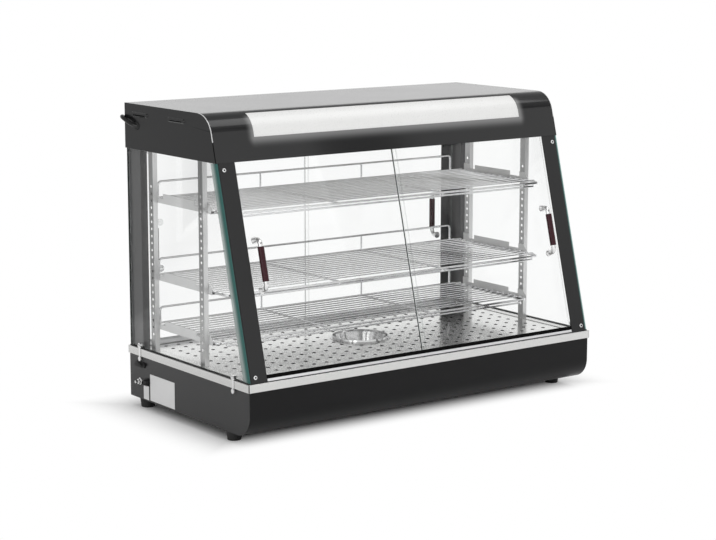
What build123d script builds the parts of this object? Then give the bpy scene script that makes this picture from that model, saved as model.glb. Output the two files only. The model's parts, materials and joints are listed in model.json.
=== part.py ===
from build123d import *
import math
import os

os.makedirs("parts", exist_ok=True)

# Heated display case: X runs to the right, Y to the back, Z up, with the origin on the
# table in the middle of the trim. All sizes are in millimetres.

# Overall sizes
TRIM_WIDTH = 900.0
TRIM_DEPTH = 473.0
FOOT_HEIGHT = 22.0
BASE_HEIGHT = 93.0
TRIM_HEIGHT = 17.0
WINDOW_HEIGHT = 424.0
CANOPY_HEIGHT = 95.0
FRONT_LEAN = 112.0
SILL_SETBACK = 4.5

# Folded sheet
SHEET = 1.2
BODY_INSET = 2.5
BASE_ROLL = 45.0
CANOPY_ROLL = 50.0
TRIM_FLANGE = 30.0
TRIM_LIP = 12.0
TRIM_CORNER = 1.5

# Gaps between pieces
SEAT = 0.3
SCREW_CLEARANCE = 0.2
RUNNING_FIT = 0.05

# Heated deck and water bowl
DECK_GAP = 0.5
HOLE_PITCH_X = 31.2
HOLE_PITCH_Y = 30.0
HOLE_DIAMETER = 8.0
HOLE_MARGIN = 20.0
BOWL_Y = 10.0
BOWL_RIM_RADIUS = 67.0
BOWL_RIM_WIDTH = 6.0
BOWL_BEAD = 5.0
BOWL_DEPTH = 36.0
BOWL_TAPER = 13.0
BOWL_SHEET = 1.0
BOWL_FLOOR_ROUND = 7.0
BOWL_HOLE_GAP = 1.0

# Push-in rubber feet
FOOT_TOP_RADIUS = 17.0
FOOT_BOTTOM_RADIUS = 14.0
FOOT_SIDE_INSET = 22.5
FOOT_FRONT_INSET = 92.0
FOOT_REAR_INSET = 34.0
FOOT_DISH_RADIUS = 8.0
FOOT_DISH_DEPTH = 3.0
FOOT_STEM_RADIUS = 4.0
FOOT_BARB_RADIUS = 6.0
FOOT_BARB_TIP = 3.0
FOOT_BARB_HEIGHT = 5.0

# Heating, wiring and thermostat inside the base
REFLECTOR_HEIGHT = 17.0
REFLECTOR_SHEET = 0.8
REFLECTOR_SIDE_GAP = 55.0
REFLECTOR_FRONT_GAP = 52.0
REFLECTOR_REAR_GAP = 34.0
ELEMENT_RADIUS = 4.25
ELEMENT_RISE = 45.0
ELEMENT_BEND = 24.0
ELEMENT_SIDE_GAP = 66.0
ELEMENT_FRONT_GAP = 110.0
ELEMENT_REAR_GAP = 100.0
ELEMENT_TAIL_GAP = 45.0
ELEMENT_BOWL_GAP = 50.0
ELEMENT_TAIL_PITCH = 70.0
ELEMENT_PIN_RADIUS = 2.0
ELEMENT_PIN_LENGTH = 12.0
BRACE_SHEET = 2.0
BRACE_WIDTH = 22.0
BRACE_MARGIN = 6.0
BRACE_FOOT = 16.0
BRACE_INSET = 140.0
TERMINAL_WAYS = 6
TERMINAL_PITCH = 12.0
TERMINAL_DEPTH = 22.0
TERMINAL_HEIGHT = 20.0
TERMINAL_BARRIER = 3.0
TERMINAL_INSET = 92.5
TERMINAL_REAR_GAP = 50.0
TERMINAL_HOLE_RADIUS = 3.2
TERMINAL_HOLE_DEPTH = 7.0
THERMOSTAT_X = 70.0
THERMOSTAT_BODY = 36.0
THERMOSTAT_DEPTH = 26.0
SHAFT_RADIUS = 3.0
SHAFT_LENGTH = 9.0
PANEL_HOLE_GAP = 0.8
CAPILLARY_RADIUS = 1.2
CAPILLARY_BEND = 12.0
CAPILLARY_RUN = 45.0
BULB_RADIUS = 3.5
BULB_LENGTH = 80.0

# Controls on the rear panel
KNOB_RADIUS = 18.0
KNOB_NECK_RADIUS = 15.0
KNOB_LENGTH = 11.5
KNOB_SKIRT = 3.5
KNOB_POINTER = 2.0
KNOB_GAP = 0.5
KNOB_ROUND = 1.5
SWITCH_X = (-40.0, 0.0)
SWITCH_FACE_WIDTH = 22.0
SWITCH_FACE_HEIGHT = 30.0
SWITCH_FACE = 2.0
SWITCH_FACE_ROUND = 3.0
SWITCH_BODY_WIDTH = 19.0
SWITCH_BODY_HEIGHT = 26.0
SWITCH_BODY_DEPTH = 22.0
SWITCH_CUTOUT_GAP = 0.3
ROCKER_WIDTH = 14.0
ROCKER_REACH = 9.0
ROCKER_PIVOT_DEPTH = 2.0
ROCKER_TIP = 5.0
ROCKER_WAIST = 3.0
ROCKER_BACK = 6.0
ROCKER_TILT = 10.0
ROCKER_GAP = 0.5
ROCKER_PIN_RADIUS = 1.2
ROCKER_PIN_LENGTH = 1.6
INDICATOR_X = -78.0
INDICATOR_RADIUS = 5.0
INDICATOR_FLANGE = 1.5
INDICATOR_BODY_DEPTH = 18.0

# Left end of the base: gland, bonding stud, blank plates
GLAND_REAR = 72.0
GLAND_RISE = 41.0
GLAND_RADIUS = 8.5
GLAND_BORE_RADIUS = 3.6
GLAND_COLLAR = 5.0
GLAND_DOME = 7.0
GLAND_THREAD_RADIUS = 6.0
GLAND_TAIL = 9.0
GLAND_NUT = 4.0
STUD_REAR = 43.0
STUD_RISE = 38.0
STUD_RADIUS = 3.0
STUD_LENGTH = 13.0
STUD_TAIL = 6.0
STUD_NUT_RADIUS = 6.0
STUD_NUT = 4.5
STUD_WASHER_RADIUS = 7.5
STUD_WASHER = 1.4
PLATE_REAR = 134.0
PLATE_RISE = 32.0
PLATE_LENGTH = 100.0
PLATE_HEIGHT = 57.0
PLATE_SHEET = 0.6
TAG_REAR = 67.5
TAG_RISE = 17.5
TAG_LENGTH = 22.0
TAG_HEIGHT = 30.0

# Glass
GLASS = 5.0
GLASS_INSET = 1.5
GASKET = 1.5
GASKET_LIP = 1.0

# Glass clips on the trim
CLIP_FRONT = 54.0
CLIP_REAR = 48.0
CLIP_WIDTH = 11.0
CLIP_WAIST = 6.0
CLIP_PAD_RADIUS = 6.0
CLIP_PAD_INSET = 1.2
CLIP_FOOT_RADIUS = 5.0
CLIP_STUD = 2.2
CLIP_STRIP = 1.4
CLIP_BULB_RADIUS = 3.6
CLIP_BULB_RISE = 7.0
CLIP_HOOK_DROP = 5.0
CLIP_HOOK_RADIUS = 1.9

# Front pillars and rear posts
PILLAR_FACE = 38.0
PILLAR_RETURN = 20.0
PILLAR_SHEET = 1.5
PILLAR_SCREW_EDGE = 10.0
PILLAR_SCREW_FOOT = 12.0
PILLAR_SCREW_HEAD = 14.0
PILLAR_SCREW_RADIUS = 2.0
PILLAR_SCREW_HEAD_RADIUS = 4.3
PILLAR_SCREW_HEAD_HEIGHT = 2.6
PILLAR_SCREW_TAIL = 6.0
PILLAR_NUT_RADIUS = 4.2
PILLAR_NUT = 3.0
RECESS_LENGTH = 4.4
RECESS_WIDTH = 1.0
RECESS_DEPTH = 1.2
POST_WIDTH = 16.7
POST_DEPTH = 46.0
POST_LIP = 23.0
POST_SETBACK = 3.5

# Holed pilasters, shelf brackets and wire shelves
PILASTER_WIDTH = 11.0
PILASTER_DEPTH = 17.0
PILASTER_SHEET = 1.2
PILASTER_GAP = 9.0
PILASTER_REAR = 73.5
PILASTER_SPAN = 196.0
PEG_HOLE_RADIUS = 3.0
PEG_PITCH = 15.0
PEG_FIRST = 33.5
PEG_COUNT = 22
PEG_RADIUS = 2.5
PEG_LENGTH = 6.0
BRACKET_SHEET = 1.5
BRACKET_LEDGE = 13.0
BRACKET_BAR = 9.0
BRACKET_FENCE = 20.5
BRACKET_NECK = 11.0
BRACKET_FENCE_FRONT = 33.0
BRACKET_FENCE_REAR = 21.0
BRACKET_OVERRUN = 12.0
BRACKET_HOOK = 9.0
SHELF_HOLE = {"lower": 2, "middle": 9, "upper": 20}
SHELF_FRONT_GAP = 42.5
SHELF_REAR_GAP = 9.5
SHELF_STEP = {"lower": 38.0, "middle": 0.0, "upper": 0.0}
SHELF_DROP = 10.0
SHELF_END_GAP = 3.0
FRAME_RADIUS = 2.5
FRAME_CORNER = 12.0
WIRE_RADIUS = 1.5
WIRE_PITCH = 19.0
WELD = 0.4
CROSS_X = 137.0
CROSS_RADIUS = 2.2
APRON_RADIUS = 2.0
APRON_DROP = 6.5
APRON_SPAN = 8.0
TIE_RADIUS = 1.7
RAIL_RADIUS = 2.3
RAIL_POST_RADIUS = 2.0
RAIL_RISE = 29.0
RAIL_INSET = 6.0
RAIL_BEND = 8.0

# Sliding doors and their tracks
TRACK_LIP = 1.5
TRACK_GROOVE = 9.0
TRACK_FLOOR = 8.0
TRACK_LIP_HEIGHT = 6.0
TRACK_HIDE = 6.0
TRACK_ROOF_LIP = 10.0
TRACK_HIDDEN_LIP = 1.0
TRACK_ROOF = 2.0
TRACK_REAR_FLOOR = 2.0
DOOR_SEAT = 0.3
DOOR_TOP_PLAY = 4.0
DOOR_OVERLAP = 2.0
DOOR_TUCK = 10.0
DOOR_REAR_GAP = 2.0
REAR_TRACK_SETBACK = 7.5
HANDLE_SIDE = 20.0
HANDLE_RISE = 231.0
HANDLE_REAR_RISE = 212.0
HANDLE_LENGTH = 100.0
HANDLE_STAND = 20.0
HANDLE_RADIUS = 5.0
HANDLE_BEND = 12.0
HANDLE_ROSE_RADIUS = 7.5
HANDLE_ROSE = 2.0
GRIP_LENGTH = 70.0
GRIP_RADIUS = 6.6
GRIP_ROUND = 1.0

# Canopy and its light
LENS_HALF = 348.0
LENS_TOP_ANGLE = 20.0
LENS_BOTTOM_RISE = 46.0
LENS_SHEET = 2.0
LENS_MARGIN = 8.0
LOUVRE_REAR = (207.0, 61.0)
LOUVRE_RISE = 74.0
LOUVRE_LENGTH = 66.0
LOUVRE_HEIGHT = 10.0
LOUVRE_BULGE = 2.2
LOUVRE_TAPER = 38.0
LOUVRE_SLIT = 1.6
LAMP_RADIUS = 8.0
LAMP_END_GAP = 20.0
LAMP_BEHIND = 6.0
LAMP_DROP = 51.0
HOLDER_LENGTH = 14.0
HOLDER_WIDTH = 22.0
HOLDER_HEAD = 12.0
HOLDER_SOCKET = 8.0
DRIVER_X = -200.0
DRIVER_REAR = 114.0
DRIVER_LENGTH = 160.0
DRIVER_WIDTH = 40.0
DRIVER_HEIGHT = 28.0

# Lamp lead round the left rear corner of the canopy, and its grommets
LEAD_RADIUS = 4.3
LEAD_STAND = 10.0
LEAD_TOP_REAR = 48.0
LEAD_TOP_RISE = 49.0
LEAD_TOP_LOOP = 20.0
LEAD_TAIL = 14.0
LEAD_SLACK = 4.0
LEAD_BULGE = 0.5
LEAD_SHOULDER = 9.0
LEAD_POST_DROP = 10.0
LEAD_POST_TAIL = 32.0
LEAD_POST_FALL = 7.0
LEAD_REACH = 10.0
BEND_SHARE = 0.45
BEND_LIMIT = 90.0
LEAD_EXIT_BEND = 17.0
LEAD_ENTRY_BEND = 10.5
GROMMET_HOLE_RADIUS = 7.0
GROMMET_POST_RADIUS = 5.8
GROMMET_FLANGE = 2.0
GROMMET_BEAD = 1.0
GROMMET_HEIGHT = 2.0
GROMMET_LIP = 2.0
LEAD_FIT = 0.1

# Blank bushing on the left end of the base
BUSHING_REAR = 45.0
BUSHING_RISE = 75.0
BUSHING_LENGTH = 38.0
BUSHING_HEIGHT = 13.0
BUSHING_MARGIN = 3.0
BUSHING_PLATE = 2.5
BUSHING_NIPPLE_PITCH = 20.0
BUSHING_NIPPLE_RADIUS = 5.0
BUSHING_NIPPLE_TIP = 3.4
BUSHING_NIPPLE_HEIGHT = 5.0

# Levels and faces worked out from the sizes above
z_base = FOOT_HEIGHT
z_trim = z_base + BASE_HEIGHT
z_sill = z_trim + TRIM_HEIGHT
z_canopy = z_sill + WINDOW_HEIGHT
z_top = z_canopy + CANOPY_HEIGHT
z_deck = z_sill - SHEET
z_floor = z_base + SHEET
z_reflector = z_floor + REFLECTOR_HEIGHT
body_x = TRIM_WIDTH / 2 - BODY_INSET
body_y = TRIM_DEPTH / 2 - BODY_INSET
back_y = TRIM_DEPTH / 2
inner_x = body_x - SHEET
y_sill = -back_y + SILL_SETBACK
y_lintel = y_sill + FRONT_LEAN
slope = math.atan2(FRONT_LEAN, WINDOW_HEIGHT)
slope_length = math.hypot(FRONT_LEAN, WINDOW_HEIGHT)
glass_outer = body_x - GLASS_INSET
glass_inner = glass_outer - GLASS
pillar_outer = glass_inner - SEAT
pillar_inner = pillar_outer - PILLAR_FACE
post_outer = glass_inner - SEAT
post_inner = post_outer - POST_WIDTH
post_back = back_y - POST_SETBACK
pilaster_outer = glass_inner - PILASTER_GAP
pilaster_inner = pilaster_outer - PILASTER_WIDTH
bracket_outer = pilaster_inner - SEAT
bracket_inner = bracket_outer - BRACKET_SHEET
shelf_x = bracket_inner - SHELF_END_GAP - FRAME_RADIUS
track_depth = 3 * TRACK_LIP + 2 * TRACK_GROOVE
control_z = z_base + BASE_HEIGHT / 2
rear_track_y = post_back - PILLAR_SHEET - REAR_TRACK_SETBACK
pilaster_rear_y = post_back - PILASTER_REAR
pilaster_front_y = pilaster_rear_y - PILASTER_SPAN
gland_y = body_y - GLAND_REAR
stud_y = body_y - STUD_REAR
plate_y = body_y - PLATE_REAR
tag_y = body_y - TAG_REAR
clip_points_y = (-body_y + CLIP_FRONT, body_y - CLIP_REAR)
bowl_mouth = BOWL_RIM_RADIUS - BOWL_RIM_WIDTH
bowl_hole = bowl_mouth + BOWL_HOLE_GAP

# The front plane leans back; its local x is X, its local y climbs the slope
front_plane = Plane(
    origin=(0, y_sill, z_sill),
    x_dir=(1, 0, 0),
    z_dir=(0, -math.cos(slope), math.sin(slope)),
)
left_face = Plane(origin=(-body_x, 0, 0), x_dir=(0, -1, 0), z_dir=(-1, 0, 0))
rear_face = Plane(origin=(0, body_y, 0), x_dir=(-1, 0, 0), z_dir=(0, 1, 0))


def on_slope(depth, climb):
    """Y and Z of a point that far behind the front plane and that far up it."""
    y = y_sill + depth * math.cos(slope) + climb * math.sin(slope)
    z = z_sill - depth * math.sin(slope) + climb * math.cos(slope)
    return (y, z)


def at_level(depth, z):
    """Y and Z of the point at a level, that far behind the front plane."""
    y = y_sill + (z - z_sill) * math.tan(slope) + depth / math.cos(slope)
    return (y, z)


def save(piece, name):
    """Name a finished piece and write its file."""
    piece.label = name
    export_step(piece, f"parts/{name}.step")


# Route of the lamp lead, and where it passes the canopy's left end and the left rear post
lead_top_y = body_y - LEAD_TOP_REAR
lead_top_z = z_canopy + LEAD_TOP_RISE
lead_side = -body_x - LEAD_STAND
lead_back = post_back + LEAD_REACH
lead_post_x = -(post_outer + post_inner) / 2
lead_post_z = z_canopy - LEAD_POST_DROP
lead_route = [
    Vector(-body_x + LEAD_TAIL, lead_top_y - LEAD_TAIL, lead_top_z - LEAD_SLACK),
    Vector(lead_side, lead_top_y + LEAD_STAND, lead_top_z + LEAD_SLACK),
    Vector(lead_side, lead_back, lead_top_z + LEAD_TOP_LOOP),
    Vector(lead_post_x, lead_back + LEAD_BULGE, lead_top_z + LEAD_SHOULDER),
    Vector(lead_post_x, lead_back + LEAD_BULGE, lead_post_z),
    Vector(lead_post_x, lead_back + LEAD_BULGE - LEAD_POST_TAIL, lead_post_z - LEAD_POST_FALL),
]
lead_out = lead_route[1] - lead_route[0]
lead_exit = lead_route[0] + lead_out * ((-body_x - lead_route[0].X) / lead_out.X)
lead_in = lead_route[-2] - lead_route[-1]
lead_entry = lead_route[-1] + lead_in * ((post_back - lead_route[-1].Y) / lead_in.Y)
bushing_y = body_y - BUSHING_REAR
bushing_z = z_base + BUSHING_RISE

foot_points = [
    (side * (body_x - FOOT_SIDE_INSET), y)
    for side in (-1, 1)
    for y in (-body_y + FOOT_FRONT_INSET, body_y - FOOT_REAR_INSET)
]

# Side outline of the base, with the rolled lower front edge
with BuildSketch() as base_outline:
    with BuildLine():
        base_front = Line((-body_y, z_trim), (-body_y, z_base + BASE_ROLL))
        base_roll = TangentArc(base_front @ 1, (-body_y + BASE_ROLL, z_base), tangent=base_front % 1)
        Polyline(base_roll @ 1, (body_y, z_base), (body_y, z_trim), base_front @ 0)
    make_face()

# Base shell: front and floor in one folded sheet, open on top and at the back
with BuildPart() as base_shell:
    with BuildSketch(Plane.YZ.offset(-inner_x)):
        add(base_outline.sketch)
        offset(amount=-SHEET, mode=Mode.SUBTRACT)
        with Locations((SHEET, z_trim)):
            Rectangle(2 * body_y, 2 * SHEET, mode=Mode.SUBTRACT)
        with Locations((body_y, z_base + SHEET)):
            Rectangle(2 * SHEET, BASE_HEIGHT, align=(Align.CENTER, Align.MIN), mode=Mode.SUBTRACT)
    extrude(amount=2 * inner_x)
    with BuildSketch(Plane.XY.offset(z_base)):
        with Locations(*foot_points):
            Circle(FOOT_STEM_RADIUS + SCREW_CLEARANCE)
    extrude(amount=SHEET, mode=Mode.SUBTRACT)
save(base_shell.part, "base_shell")

# Side plates of the base; the left one is drilled for gland, stud and lead
left_holes = [
    (gland_y, z_base + GLAND_RISE, GLAND_THREAD_RADIUS + SCREW_CLEARANCE),
    (stud_y, z_base + STUD_RISE, STUD_RADIUS + SCREW_CLEARANCE),
]
with BuildPart() as base_side_left:
    with BuildSketch(Plane.YZ.offset(-body_x)):
        add(base_outline.sketch)
        for hole_y, hole_z, hole_radius in left_holes:
            with Locations((hole_y, hole_z)):
                Circle(hole_radius, mode=Mode.SUBTRACT)
        with Locations((bushing_y, bushing_z)):
            SlotOverall(
                BUSHING_LENGTH - 2 * BUSHING_MARGIN + 2 * SCREW_CLEARANCE,
                BUSHING_HEIGHT - 2 * BUSHING_MARGIN + 2 * SCREW_CLEARANCE,
                mode=Mode.SUBTRACT,
            )
    extrude(amount=SHEET)
save(base_side_left.part, "base_side_left")

with BuildPart() as base_side_right:
    with BuildSketch(Plane.YZ.offset(inner_x)):
        add(base_outline.sketch)
    extrude(amount=SHEET)
save(base_side_right.part, "base_side_right")

# Rear panel of the base, pierced for the controls
with BuildPart() as base_rear_panel:
    with BuildSketch(rear_face):
        with Locations((0, z_floor)):
            Rectangle(2 * inner_x, z_trim - z_floor, align=(Align.CENTER, Align.MIN))
        with Locations((-THERMOSTAT_X, control_z)):
            Circle(SHAFT_RADIUS + PANEL_HOLE_GAP, mode=Mode.SUBTRACT)
        with Locations(*[(-x, control_z) for x in SWITCH_X]):
            Rectangle(
                SWITCH_BODY_WIDTH + 2 * SWITCH_CUTOUT_GAP,
                SWITCH_BODY_HEIGHT + 2 * SWITCH_CUTOUT_GAP,
                mode=Mode.SUBTRACT,
            )
        with Locations((-INDICATOR_X, control_z)):
            Circle(INDICATOR_RADIUS + SCREW_CLEARANCE, mode=Mode.SUBTRACT)
    extrude(amount=-SHEET)
save(base_rear_panel.part, "base_rear_panel")

# Bright trim: a folded band with a wide flange on top and a small one below
with BuildPart() as trim_frame:
    with BuildSketch(Plane.XY.offset(z_trim)):
        RectangleRounded(TRIM_WIDTH, TRIM_DEPTH, TRIM_CORNER)
    extrude(amount=TRIM_HEIGHT)
    with BuildSketch(Plane.XY.offset(z_trim + SHEET)):
        Rectangle(TRIM_WIDTH - 2 * SHEET, TRIM_DEPTH - 2 * SHEET)
    extrude(amount=TRIM_HEIGHT - 2 * SHEET, mode=Mode.SUBTRACT)
    with BuildSketch(Plane.XY.offset(z_deck)):
        Rectangle(TRIM_WIDTH - 2 * TRIM_FLANGE, TRIM_DEPTH - 2 * TRIM_FLANGE)
    extrude(amount=SHEET, mode=Mode.SUBTRACT)
    with BuildSketch(Plane.XY.offset(z_trim)):
        Rectangle(TRIM_WIDTH - 2 * TRIM_LIP, TRIM_DEPTH - 2 * TRIM_LIP)
    extrude(amount=SHEET, mode=Mode.SUBTRACT)
save(trim_frame.part, "trim_frame")

# Perforated deck under the trim's flange, with a hole for the water bowl
field_x = TRIM_WIDTH / 2 - TRIM_FLANGE - HOLE_MARGIN
field_y = TRIM_DEPTH / 2 - TRIM_FLANGE - HOLE_MARGIN
columns = int(2 * field_x // HOLE_PITCH_X) + 1
rows = int(2 * field_y // HOLE_PITCH_Y) + 1
hole_points = [
    ((column - (columns - 1) / 2) * HOLE_PITCH_X, (row - (rows - 1) / 2) * HOLE_PITCH_Y)
    for column in range(columns)
    for row in range(rows)
]
bowl_keep_out = BOWL_RIM_RADIUS + HOLE_DIAMETER
hole_points = [p for p in hole_points if math.hypot(p[0], p[1] - BOWL_Y) > bowl_keep_out]
with BuildPart() as deck_plate:
    with BuildSketch(Plane.XY.offset(z_deck - SHEET)):
        Rectangle(TRIM_WIDTH - 2 * (SHEET + DECK_GAP), TRIM_DEPTH - 2 * (SHEET + DECK_GAP))
        with Locations((0, BOWL_Y)):
            Circle(bowl_hole, mode=Mode.SUBTRACT)
        with Locations(*hole_points):
            Circle(HOLE_DIAMETER / 2, mode=Mode.SUBTRACT)
    extrude(amount=SHEET)
save(deck_plate.part, "deck_plate")
print("deck holes", len(hole_points))

# Water bowl: a spun dish whose rim lies on the deck
bowl_wall = BOWL_SHEET * math.hypot(1, BOWL_TAPER / BOWL_DEPTH)
with BuildPart() as water_bowl:
    with BuildSketch(Plane(origin=(0, BOWL_Y, z_deck + SEAT), x_dir=(1, 0, 0), z_dir=(0, -1, 0))):
        with BuildLine():
            Polyline(
                (0, -BOWL_DEPTH),
                (bowl_mouth - BOWL_TAPER, -BOWL_DEPTH),
                (bowl_mouth, 0),
                (BOWL_RIM_RADIUS, 0),
                (BOWL_RIM_RADIUS, BOWL_SHEET),
                (bowl_mouth + BOWL_SHEET, BOWL_SHEET),
                (bowl_mouth, BOWL_BEAD),
                (bowl_mouth - bowl_wall, BOWL_BEAD),
                (bowl_mouth - bowl_wall, 0),
                (bowl_mouth - BOWL_TAPER - bowl_wall, BOWL_SHEET - BOWL_DEPTH),
                (0, BOWL_SHEET - BOWL_DEPTH),
                close=True,
            )
        bowl_face = make_face()
        bowl_corners = bowl_face.vertices().sort_by(Axis.Y)
        outer_floor = bowl_corners[:2].sort_by(Axis.X)[-1]
        inner_floor = bowl_corners[2:4].sort_by(Axis.X)[-1]
        fillet(outer_floor, BOWL_FLOOR_ROUND)
        fillet(inner_floor, BOWL_FLOOR_ROUND - BOWL_SHEET)
    revolve(axis=Axis((0, BOWL_Y, 0), (0, 0, 1)))
save(water_bowl.part, "water_bowl")

# Rubber feet: tapered pads with a dished sole and a barbed stem through the floor
with BuildPart() as rubber_feet:
    with Locations(*[(x, y, 0) for x, y in foot_points]):
        Cone(
            FOOT_BOTTOM_RADIUS,
            FOOT_TOP_RADIUS,
            FOOT_HEIGHT,
            align=(Align.CENTER, Align.CENTER, Align.MIN),
        )
    with Locations(*[(x, y, z_floor + SEAT) for x, y in foot_points]):
        Cone(
            FOOT_BARB_RADIUS,
            FOOT_BARB_TIP,
            FOOT_BARB_HEIGHT,
            align=(Align.CENTER, Align.CENTER, Align.MIN),
        )
    with BuildSketch(Plane.XY.offset(z_base)):
        with Locations(*foot_points):
            Circle(FOOT_STEM_RADIUS)
    extrude(amount=SHEET + SEAT)
    with BuildSketch(Plane.XY):
        with Locations(*foot_points):
            Circle(FOOT_DISH_RADIUS)
    extrude(amount=FOOT_DISH_DEPTH, mode=Mode.SUBTRACT)
save(rubber_feet.part, "rubber_feet")

# Two tubular heating elements, one each side of the bowl
z_element = z_reflector + ELEMENT_RISE
element_front = -body_y + ELEMENT_FRONT_GAP
element_rear = body_y - ELEMENT_REAR_GAP
element_tail = body_y - ELEMENT_TAIL_GAP
element_near = bowl_mouth + ELEMENT_BOWL_GAP
element_far = body_x - ELEMENT_SIDE_GAP


def element_route(side):
    """Corner points of one element, from terminal to terminal."""
    return [
        (side * element_near, element_tail, z_element),
        (side * element_near, element_front, z_element),
        (side * element_far, element_front, z_element),
        (side * element_far, element_rear, z_element),
        (side * (element_near + ELEMENT_TAIL_PITCH), element_rear, z_element),
        (side * (element_near + ELEMENT_TAIL_PITCH), element_tail, z_element),
    ]


with BuildPart() as heating_elements:
    for side in (-1, 1):
        with BuildLine() as element_path:
            FilletPolyline(*element_route(side), radius=ELEMENT_BEND)
        with BuildSketch(Plane(origin=element_path.wire() @ 0, z_dir=element_path.wire() % 0)):
            Circle(ELEMENT_RADIUS)
        sweep(path=element_path.wire())
        with BuildSketch(Plane.XZ.offset(-element_tail)):
            with Locations(
                (side * element_near, z_element),
                (side * (element_near + ELEMENT_TAIL_PITCH), z_element),
            ):
                Circle(ELEMENT_PIN_RADIUS)
        extrude(amount=-ELEMENT_PIN_LENGTH)
save(heating_elements.part, "heating_elements")

# Reflector: a shallow upturned tray on the floor, with welded braces that carry the elements
reflector_x = body_x - REFLECTOR_SIDE_GAP
reflector_front = -body_y + REFLECTOR_FRONT_GAP
reflector_rear = body_y - REFLECTOR_REAR_GAP
reflector_y = (reflector_front + reflector_rear) / 2
reflector_depth = reflector_rear - reflector_front
brace_x = element_far - BRACE_INSET
brace_height = ELEMENT_RISE + ELEMENT_RADIUS + BRACE_MARGIN
with BuildPart() as reflector_plate:
    with BuildSketch(Plane.XY.offset(z_floor)):
        with Locations((0, reflector_y)):
            Rectangle(2 * reflector_x, reflector_depth)
    extrude(amount=REFLECTOR_HEIGHT)
    with BuildSketch(Plane.XY.offset(z_floor)):
        with Locations((0, reflector_y)):
            Rectangle(2 * (reflector_x - REFLECTOR_SHEET), reflector_depth - 2 * REFLECTOR_SHEET)
    extrude(amount=REFLECTOR_HEIGHT - REFLECTOR_SHEET, mode=Mode.SUBTRACT)
    for side in (-1, 1):
        for run_y in (element_front, element_rear):
            with BuildSketch(Plane.YZ.offset(side * brace_x)):
                with Locations((run_y, z_reflector)):
                    Rectangle(BRACE_WIDTH, brace_height, align=(Align.CENTER, Align.MIN))
                with Locations((run_y, z_element)):
                    Circle(ELEMENT_RADIUS + SCREW_CLEARANCE, mode=Mode.SUBTRACT)
            extrude(amount=BRACE_SHEET)
            with Locations((side * brace_x, run_y, z_reflector)):
                Box(BRACE_FOOT, BRACE_WIDTH, BRACE_SHEET, align=(Align.MIN, Align.CENTER, Align.MIN))
save(reflector_plate.part, "reflector_plate")

# Terminal block with barriers between its ways
terminal_length = TERMINAL_WAYS * TERMINAL_PITCH
terminal_x = -body_x + REFLECTOR_SIDE_GAP + TERMINAL_INSET
terminal_y = body_y - TERMINAL_REAR_GAP
with BuildPart() as terminal_block:
    with Locations((terminal_x, terminal_y, z_reflector)):
        Box(terminal_length, TERMINAL_DEPTH, TERMINAL_HEIGHT, align=(Align.CENTER, Align.CENTER, Align.MIN))
    with Locations((terminal_x, terminal_y, z_reflector + TERMINAL_HEIGHT)):
        with GridLocations(TERMINAL_PITCH, 0, TERMINAL_WAYS, 1):
            Box(
                TERMINAL_PITCH - TERMINAL_BARRIER,
                TERMINAL_DEPTH,
                TERMINAL_BARRIER,
                align=(Align.CENTER, Align.CENTER, Align.MAX),
                mode=Mode.SUBTRACT,
            )
            Cylinder(
                TERMINAL_HOLE_RADIUS,
                TERMINAL_HOLE_DEPTH,
                align=(Align.CENTER, Align.CENTER, Align.MAX),
                mode=Mode.SUBTRACT,
            )
save(terminal_block.part, "terminal_block")

# Thermostat: body behind the panel, shaft through it, capillary and bulb under the deck
thermostat_front = body_y - SHEET - THERMOSTAT_DEPTH
bulb_z = z_deck - SHEET - SEAT - BULB_RADIUS
with BuildPart() as thermostat:
    with Locations((THERMOSTAT_X, body_y - SHEET, control_z)):
        Box(
            THERMOSTAT_BODY,
            THERMOSTAT_DEPTH,
            THERMOSTAT_BODY,
            align=(Align.CENTER, Align.MAX, Align.CENTER),
        )
    with BuildSketch(rear_face.offset(-SHEET)):
        with Locations((-THERMOSTAT_X, control_z)):
            Circle(SHAFT_RADIUS)
    extrude(amount=SHEET + SHAFT_LENGTH)
    with BuildLine() as capillary_path:
        FilletPolyline(
            (THERMOSTAT_X, thermostat_front, control_z),
            (THERMOSTAT_X, thermostat_front - CAPILLARY_RUN, control_z),
            (THERMOSTAT_X, thermostat_front - CAPILLARY_RUN, bulb_z),
            (THERMOSTAT_X + CAPILLARY_RUN, thermostat_front - CAPILLARY_RUN, bulb_z),
            radius=CAPILLARY_BEND,
        )
    with BuildSketch(Plane(origin=capillary_path.wire() @ 0, z_dir=capillary_path.wire() % 0)):
        Circle(CAPILLARY_RADIUS)
    sweep(path=capillary_path.wire())
    with BuildSketch(Plane.YZ.offset(THERMOSTAT_X + CAPILLARY_RUN)):
        with Locations((thermostat_front - CAPILLARY_RUN, bulb_z)):
            Circle(BULB_RADIUS)
    extrude(amount=BULB_LENGTH)
save(thermostat.part, "thermostat")

# Thermostat knob with a pointer ridge, turning on the shaft
with BuildPart() as thermostat_knob:
    with BuildSketch(rear_face.offset(KNOB_GAP)):
        with Locations((-THERMOSTAT_X, control_z)):
            Circle(KNOB_RADIUS)
    extrude(amount=KNOB_SKIRT)
    with BuildSketch(rear_face.offset(KNOB_GAP + KNOB_SKIRT)):
        with Locations((-THERMOSTAT_X, control_z)):
            Circle(KNOB_NECK_RADIUS)
    extrude(amount=KNOB_LENGTH - KNOB_SKIRT)
    fillet(thermostat_knob.edges().sort_by(Axis.Y)[-1], KNOB_ROUND)
    with BuildSketch(rear_face.offset(KNOB_GAP + KNOB_LENGTH)):
        with Locations((-THERMOSTAT_X, control_z)):
            Rectangle(KNOB_POINTER, KNOB_NECK_RADIUS - KNOB_ROUND, align=(Align.CENTER, Align.MIN))
    extrude(amount=KNOB_POINTER / 2)
    with BuildSketch(rear_face.offset(KNOB_GAP)):
        with Locations((-THERMOSTAT_X, control_z)):
            Circle(SHAFT_RADIUS + RUNNING_FIT)
    extrude(amount=SHAFT_LENGTH, mode=Mode.SUBTRACT)
save(thermostat_knob.part, "thermostat_knob")

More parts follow.
